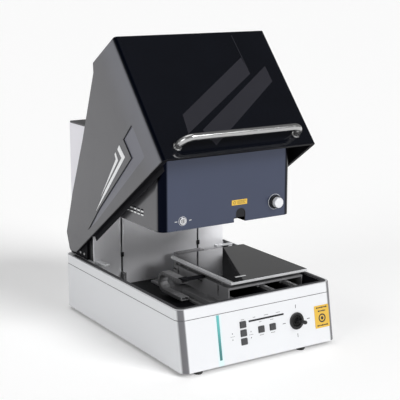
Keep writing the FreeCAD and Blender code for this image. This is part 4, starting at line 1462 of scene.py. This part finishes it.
class ANALYSER_OT_head_trim(PieceOperator, bpy.types.Operator):
    """Add the head's vent lips, its small label print and the window's frame"""
    bl_idname = "analyser.head_trim"
    bl_label = "Head trim"

    def build(self, sizes):
        high = box_of("head_shell")[1]
        lip = Shape()
        lip.prism(rounded((-0.0078, -0.0022), (0.0078, 0.0022), 0.0020, 4), -0.0006, 0.0006,
                  0.0003)
        rows = []
        for side in (-1, 1):
            face = frame_at(Vector((side * high.x, 0, 0)), Y_AXIS * side, Z_AXIS, X_AXIS * side)
            for y in (-0.06868 + 0.022 * k for k in range(5)):
                rows += spots(face, [(side * y, 0.4095, 0), (side * y, 0.4205, 0)])
        scatter("vent_lips", rows, lip, "white_inlay")
        label = box_of("head_label")
        face = head_face("head_label")
        face.translation.y = label[0].y
        ink = Shape(face)
        for k, end in enumerate((0.024, 0.018, 0.021)):
            y = 0.0038 * (1 - k)
            ink.block((-0.008, y - 0.0006, -0.0001), (end, y + 0.0006, 0.0001))
        ink.lathe([(0.0034, 0.0), (0.0046, 0.0), (0.0046, 0.0001), (0.0034, 0.0001)], 24,
                  turn=Matrix.Translation((-0.018, 0, 0)))
        ink.piece("label_print", "base", "label_yellow", "black_print")
        window = box_of("view_window")
        eased("view_window", sizes.fine_edge)
        eased("head_label", FILM_EDGE)
        rim = Shape(head_face("view_window"))
        half = (window[1].x - window[0].x) / 2 + 0.0012
        tall = (window[1].z - window[0].z) / 2 + 0.0012
        band = 0.0016

        def arch(reach):
            bow = arc((0, tall - half), reach, 0, 180, 16)
            return [(reach, -tall)] + bow + [(-reach, -tall)]
        rim.prism(arch(half) + arch(half - band)[::-1], -0.0004, 0.0008)
        rim.piece("window_frame", "base", "black_plastic")


BUTTON_NODES = ("button_raise", "button_stop", "button_lower", "button_start", "button_hood")


class ANALYSER_OT_buttons(PieceOperator, bpy.types.Operator):
    """Ease the push buttons and raise their fine dots"""
    bl_idname = "analyser.buttons"
    bl_label = "Push buttons"

    def build(self, sizes):
        face = panel_face()
        for node in BUTTON_NODES:
            body = body_of_node(node)
            eased(node, sizes.fine_edge)
            middle = box_of(node)[2]
            local = face.inverted() @ middle
            dot = Shape()
            dot.lathe([(0, -0.0002), (0.00075, 0.0), (0.00052, 0.0003), (0, 0.00042)], 8)
            places = grid(span(local.x - 0.0072, local.x + 0.0072, 7),
                          span(local.y - 0.0062, local.y + 0.0062, 6), 0.0030)
            scatter(node + "_dots", spots(face, places), dot, "button_grey", body)


class ANALYSER_OT_panel_print(PieceOperator, bpy.types.Operator):
    """Print the control panel's plain marks and bezels"""
    bl_idname = "analyser.panel_print"
    bl_label = "Panel print"

    def build(self, sizes):
        ink = Shape(panel_face())
        mark = 0.00015
        joystick = (132.0, 83.0)

        def bar(x, y, width, height):
            """A printed bar at panel millimetres, drawn from the joystick's centre."""
            x, y = (x - joystick[0]) * MM, (y - joystick[1]) * MM
            w, h = width * MM / 2, height * MM / 2
            ink.block((x - w, y - h, -mark), (x + w, y + h, mark))

        for x, y, wide, tall in ((132, 127, 2.0, 11), (132, 39.5, 2.0, 11), (176, 83, 11, 2.0),
                                 (85.5, 83, 11, 2.0)):
            bar(x, y, wide, tall)
        for x, y, count in ((-61, 121, 4), (-20, 121, 3), (23, 121, 5), (66, 121, 5),
                            (0, 104, 3), (42, 104, 4), (2, 65, 5), (43, 65, 5)):
            for k in range(count):
                bar(x + (k - (count - 1) / 2) * 2.9, y, 2.0, 1.9 - 0.5 * (k % 2))
        for x, y in ((-35, 72), (-100, 77)):
            bar(x, y + 9, 2.4, 3.6)
            bar(x, y - 9, 2.4, 3.6)
            for step in (-5, 0, 5):
                bar(x + step, y, 3.2, 1.3)
        ink.piece("panel_marks", "base", "button_grey", "grey_print")
        bezels = Shape(panel_face())
        for node in BUTTON_NODES:
            local = bezels.place.inverted() @ box_of(node)[2]
            outer = rounded((local.x - 0.0112, local.y - 0.0102), (local.x + 0.0112,
                                                                   local.y + 0.0102), 0.0028)
            inner = rounded((local.x - 0.0105, local.y - 0.0095), (local.x + 0.0105,
                                                                   local.y + 0.0095), 0.0022)
            count = len(outer)
            for k in range(count):
                j = (k + 1) % count
                bezels.prism([outer[k], outer[j], inner[j], inner[k]], -0.0003, 0.0004)
        bezels.piece("button_bezels", "base", "white_paint", "seal_rubber")


class ANALYSER_OT_status_bar(PieceOperator, bpy.types.Operator):
    """Split the status bar in dark windows"""
    bl_idname = "analyser.status_bar"
    bl_label = "Status bar"

    def build(self, sizes):
        eased("status_bar", PLATE_EDGE)
        eased("led_strip", sizes.fine_edge)
        shape = Shape(panel_face())
        low, high, middle = box_of("status_bar")
        local = shape.place.inverted() @ middle
        for x in span(low.x + 0.021, high.x - 0.021, 3):
            at = x - shape.place.translation.x
            shape.block((at - 0.0135, local.y - 0.0016, 0.0002), (at + 0.0135,
                                                                  local.y + 0.0016, 0.0006),
                        0.0001)
        shape.piece("status_windows", "base", "dark_glass", "black_plastic")


class ANALYSER_OT_joystick(PieceOperator, bpy.types.Operator):
    """Give the joystick its stepped bezel and turned stick"""
    bl_idname = "analyser.joystick"
    bl_label = "Joystick"

    def build(self, sizes):
        face = panel_face()
        ring = Shape(face)
        ring.lathe([(0.0172, -0.0130), (0.0188, -0.0130), (0.0188, -0.0004), (0.0258, -0.0004),
                    (0.0260, 0.0010), (0.0252, 0.0026), (0.0236, 0.0030), (0.0226, 0.0022),
                    (0.0214, 0.0022), (0.0204, 0.0030), (0.0180, 0.0030), (0.0172, 0.0020)], 56)
        bezel = ring.piece("stick_bezel", "base", "black_plastic")
        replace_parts(bezel, "joystick_bezel")
        eased("joystick_gimbal", sizes.fine_edge)
        stick = Shape(face)
        ball = arc((0.0, -0.0080), 0.0086, -80, 45, 10)
        stick.lathe([(0, -0.0166), *ball, (0.0046, -0.0008), (0.0034, 0.0020),
                     (0.0032, 0.0310), (0.0046, 0.0318), (0.0058, 0.0345), (0.0060, 0.0440),
                     (0.0050, 0.0458), (0.0, 0.0460)], 32)
        lever = stick.piece("stick_lever", "stick", "black_plastic")
        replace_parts(lever, "joystick_stick")


class ANALYSER_OT_warning_label(PieceOperator, bpy.types.Operator):
    """Print a plain ring and bars on the yellow label"""
    bl_idname = "analyser.warning_label"
    bl_label = "Yellow label"

    def build(self, sizes):
        eased("warning_plate", PLATE_EDGE)
        face = panel_face()
        local = face.inverted() @ box_of("warning_plate")[2]
        face = face @ Matrix.Translation((local.x, local.y, 0.0008))
        ink = Shape(face)
        for y, count in ((0.0275, 7), (0.0170, 5), (-0.0270, 7)):
            for k in range(count):
                x = (k - (count - 1) / 2) * 0.0058
                tall = 0.0016 if k % 3 else 0.0023
                ink.block((x - 0.0025, y - tall, -0.0001), (x + 0.0025, y + tall, 0.00012))
        for inner, outer, steps in ((0.0093, 0.0135, 40), (0, 0.0052, 32)):
            ink.lathe([(inner, 0), (outer, 0), (outer, 0.00012), (inner, 0.00012)], steps,
                      turn=Matrix.Translation((0, -0.005, 0)))
        ink.piece("yellow_label_print", "base", "label_yellow", "black_print")


class ANALYSER_OT_rear_fittings(PieceOperator, bpy.types.Operator):
    """Detail the rear: vent lips, a blank plate, the mains inlet and switch"""
    bl_idname = "analyser.rear_fittings"
    bl_label = "Rear fittings"

    def build(self, sizes):
        rear = rear_face()
        lip = Shape()
        lip.prism(rounded((-0.0712, -0.0012), (0.0712, 0.0012), 0.0011, 3), -0.0004, 0.0012,
                  0.0004)
        rows = spots(rear, [(0.130, 0.42 + 0.015 * k + 0.0065, 0) for k in range(9)])
        scatter("louvre_lips", rows, lip, "cabinet_paint", slot="silver_paint")
        plate = Shape(rear)
        plate.prism(rounded((-0.190, 0.300), (-0.110, 0.350), 0.003), -0.0002, 0.0008, 0.0002, 0)
        for k, wide in enumerate((0.060, 0.048, 0.060, 0.036)):
            y = 0.339 - 0.009 * k
            plate.block((-0.182, y - 0.0013, 0.0006), (-0.182 + wide, y + 0.0013, 0.0010),
                        0.0, 1)
        plate.piece("rear_plate", "base", "aluminium", "aluminium", "grey_print")
        for node in ("power_inlet", "switch_bezel", "power_switch", "fan_frame", "fan_rotor"):
            eased(node, sizes.fine_edge)


class ANALYSER_OT_feet(PieceOperator, bpy.types.Operator):
    """Turn the rubber feet with their grip rings"""
    bl_idname = "analyser.feet"
    bl_label = "Feet"

    def build(self, sizes):
        low, high, _ = box_of("feet")
        shape = Shape()
        tall = high.z - low.z
        corners = [v.co for v in frame["nodes"]["feet"].data.vertices]
        for left in (True, False):
            for front in (True, False):
                foot = [c for c in corners if (c.x < 0) == left and (c.y < 0) == front]
                x = (min(c.x for c in foot) + max(c.x for c in foot)) / 2
                y = (min(c.y for c in foot) + max(c.y for c in foot)) / 2
                at = Matrix.Translation((x, y, low.z))
                shape.lathe([(0, 0.0018), (0.0060, 0.0018), (0.0068, 0), (0.0118, 0),
                             (0.0130, 0.0012), (0.0136, 0.0045), (0.0132, 0.0050),
                             (0.0138, 0.0055), (0.0144, 0.0090), (0.0150, tall), (0, tall)], 40,
                            turn=at)
        feet = shape.piece("rubber_feet", "base", "rubber")
        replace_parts(feet, "feet")


CAMERA_STAND = Vector((-1.7235, -2.7480, 1.1391))
CAMERA_LOOK = Vector((0.5209, 0.8252, -0.2181))


class ANALYSER_OT_studio(PieceOperator, bpy.types.Operator):
    """Set up the pale floor, the soft lights and the camera"""
    bl_idname = "analyser.studio"
    bl_label = "Studio"

    def build(self, sizes):
        setup = bpy.context.scene.analyser_stage
        self.floor(setup)
        self.lights(setup)
        self.room(setup)
        self.camera(setup)

    def floor(self, setup):
        shape = Shape()
        shape.lathe([(0, -0.02), (setup.floor_radius, -0.02), (setup.floor_radius, 0), (0, 0)],
                    96)
        mesh = shape.mesh("studio_floor")
        finish = Finish("pale_floor", (0.88, 0.88, 0.88), 0.9, Emission_Strength=0.20,
                        Specular_IOR_Level=0.1)
        finish.set("Emission Color", (1.0, 1.0, 1.0))
        mesh.materials.append(finish.material)
        floor = bpy.data.objects.new("studio_floor", mesh)
        bpy.context.scene.collection.objects.link(floor)

    def lights(self, setup):
        for name, aim, power, spread in (
                ("key_light", (-0.30, 0.80, -0.52), setup.key_power, 28),
                ("side_light", (0.92, 0.22, -0.32), setup.side_power, 36),
                ("top_light", (0.10, -0.25, -1.0), setup.top_power, 50)):
            lamp = bpy.data.lights.new(name, "SUN")
            lamp.energy = power
            lamp.angle = math.radians(spread)
            light = bpy.data.objects.new(name, lamp)
            light.rotation_euler = Vector(aim).to_track_quat("-Z", "Y").to_euler()
            bpy.context.scene.collection.objects.link(light)

    def room(self, setup):
        """Soft room light: pale to look at, dimmer and darker overhead in what it lights."""
        world = bpy.data.worlds.new("studio_room")
        bpy.context.scene.world = world
        world.use_nodes = True
        graph = Graph(world.node_tree)
        back = world.node_tree.nodes["Background"]
        up = graph.split(graph.add("ShaderNodeTexCoord").outputs["Generated"])["Z"]
        tone = graph.ramp(up, 0.0, 0.7, setup.sky, setup.sky * 0.35)
        seen = graph.add("ShaderNodeLightPath").outputs["Is Camera Ray"]
        strength = graph.math("ADD", graph.product(seen, 1.0 - setup.sky), tone)
        graph.feed(back.inputs["Color"], (1.0, 1.0, 1.0))
        graph.feed(back.inputs["Strength"], strength)

    def camera(self, setup):
        data = bpy.data.cameras.new("camera")
        data.lens = setup.focal_length
        data.sensor_width = 36.0
        data.clip_end = 200.0
        camera = bpy.data.objects.new("camera", data)
        camera.location = CAMERA_STAND
        camera.rotation_euler = CAMERA_LOOK.to_track_quat("-Z", "Y").to_euler()
        bpy.context.scene.collection.objects.link(camera)
        bpy.context.scene.camera = camera
        bpy.context.scene.view_settings.view_transform = "Standard"


OPERATORS = (ANALYSER_OT_node_finishes, ANALYSER_OT_sheet_metal, ANALYSER_OT_hood_panels,
             ANALYSER_OT_hood_reflection_bands, ANALYSER_OT_side_grooves, ANALYSER_OT_well,
             ANALYSER_OT_seam, ANALYSER_OT_slot_guides, ANALYSER_OT_cable_chains,
             ANALYSER_OT_stage_metal, ANALYSER_OT_stage_covers, ANALYSER_OT_screws,
             ANALYSER_OT_fan_guard, ANALYSER_OT_focus_knob, ANALYSER_OT_key_lock,
             ANALYSER_OT_head_trim, ANALYSER_OT_buttons, ANALYSER_OT_panel_print,
             ANALYSER_OT_status_bar, ANALYSER_OT_joystick, ANALYSER_OT_warning_label,
             ANALYSER_OT_rear_fittings, ANALYSER_OT_feet, ANALYSER_OT_studio)
SETTINGS = (("analyser_colours", AnalyserColours), ("analyser_sizes", AnalyserSizes),
            ("analyser_stage", AnalyserStage))


class ANALYSER_PT_panel(bpy.types.Panel):
    """The analyser's pieces and their settings"""
    bl_idname = "ANALYSER_PT_panel"
    bl_label = "Coating Analyser"
    bl_space_type = "VIEW_3D"
    bl_region_type = "UI"
    bl_category = "Analyser"

    def draw(self, context):
        for name, group in SETTINGS:
            column = self.layout.column(align=True)
            for key in group.__annotations__:
                column.prop(getattr(context.scene, name), key)
        column = self.layout.column(align=True)
        for operator in OPERATORS:
            column.operator(operator.bl_idname)


def register():
    for name, group in SETTINGS:
        bpy.utils.register_class(group)
        setattr(bpy.types.Scene, name, bpy.props.PointerProperty(type=group))
    for operator in OPERATORS:
        bpy.utils.register_class(operator)
    bpy.utils.register_class(ANALYSER_PT_panel)


def unregister():
    bpy.utils.unregister_class(ANALYSER_PT_panel)
    for operator in reversed(OPERATORS):
        bpy.utils.unregister_class(operator)
    for name, group in reversed(SETTINGS):
        delattr(bpy.types.Scene, name)
        bpy.utils.unregister_class(group)


def main():
    register()
    for operator in OPERATORS:
        family, name = operator.bl_idname.split(".")
        getattr(getattr(bpy.ops, family), name)()


if __name__ == "__main__":
    main()
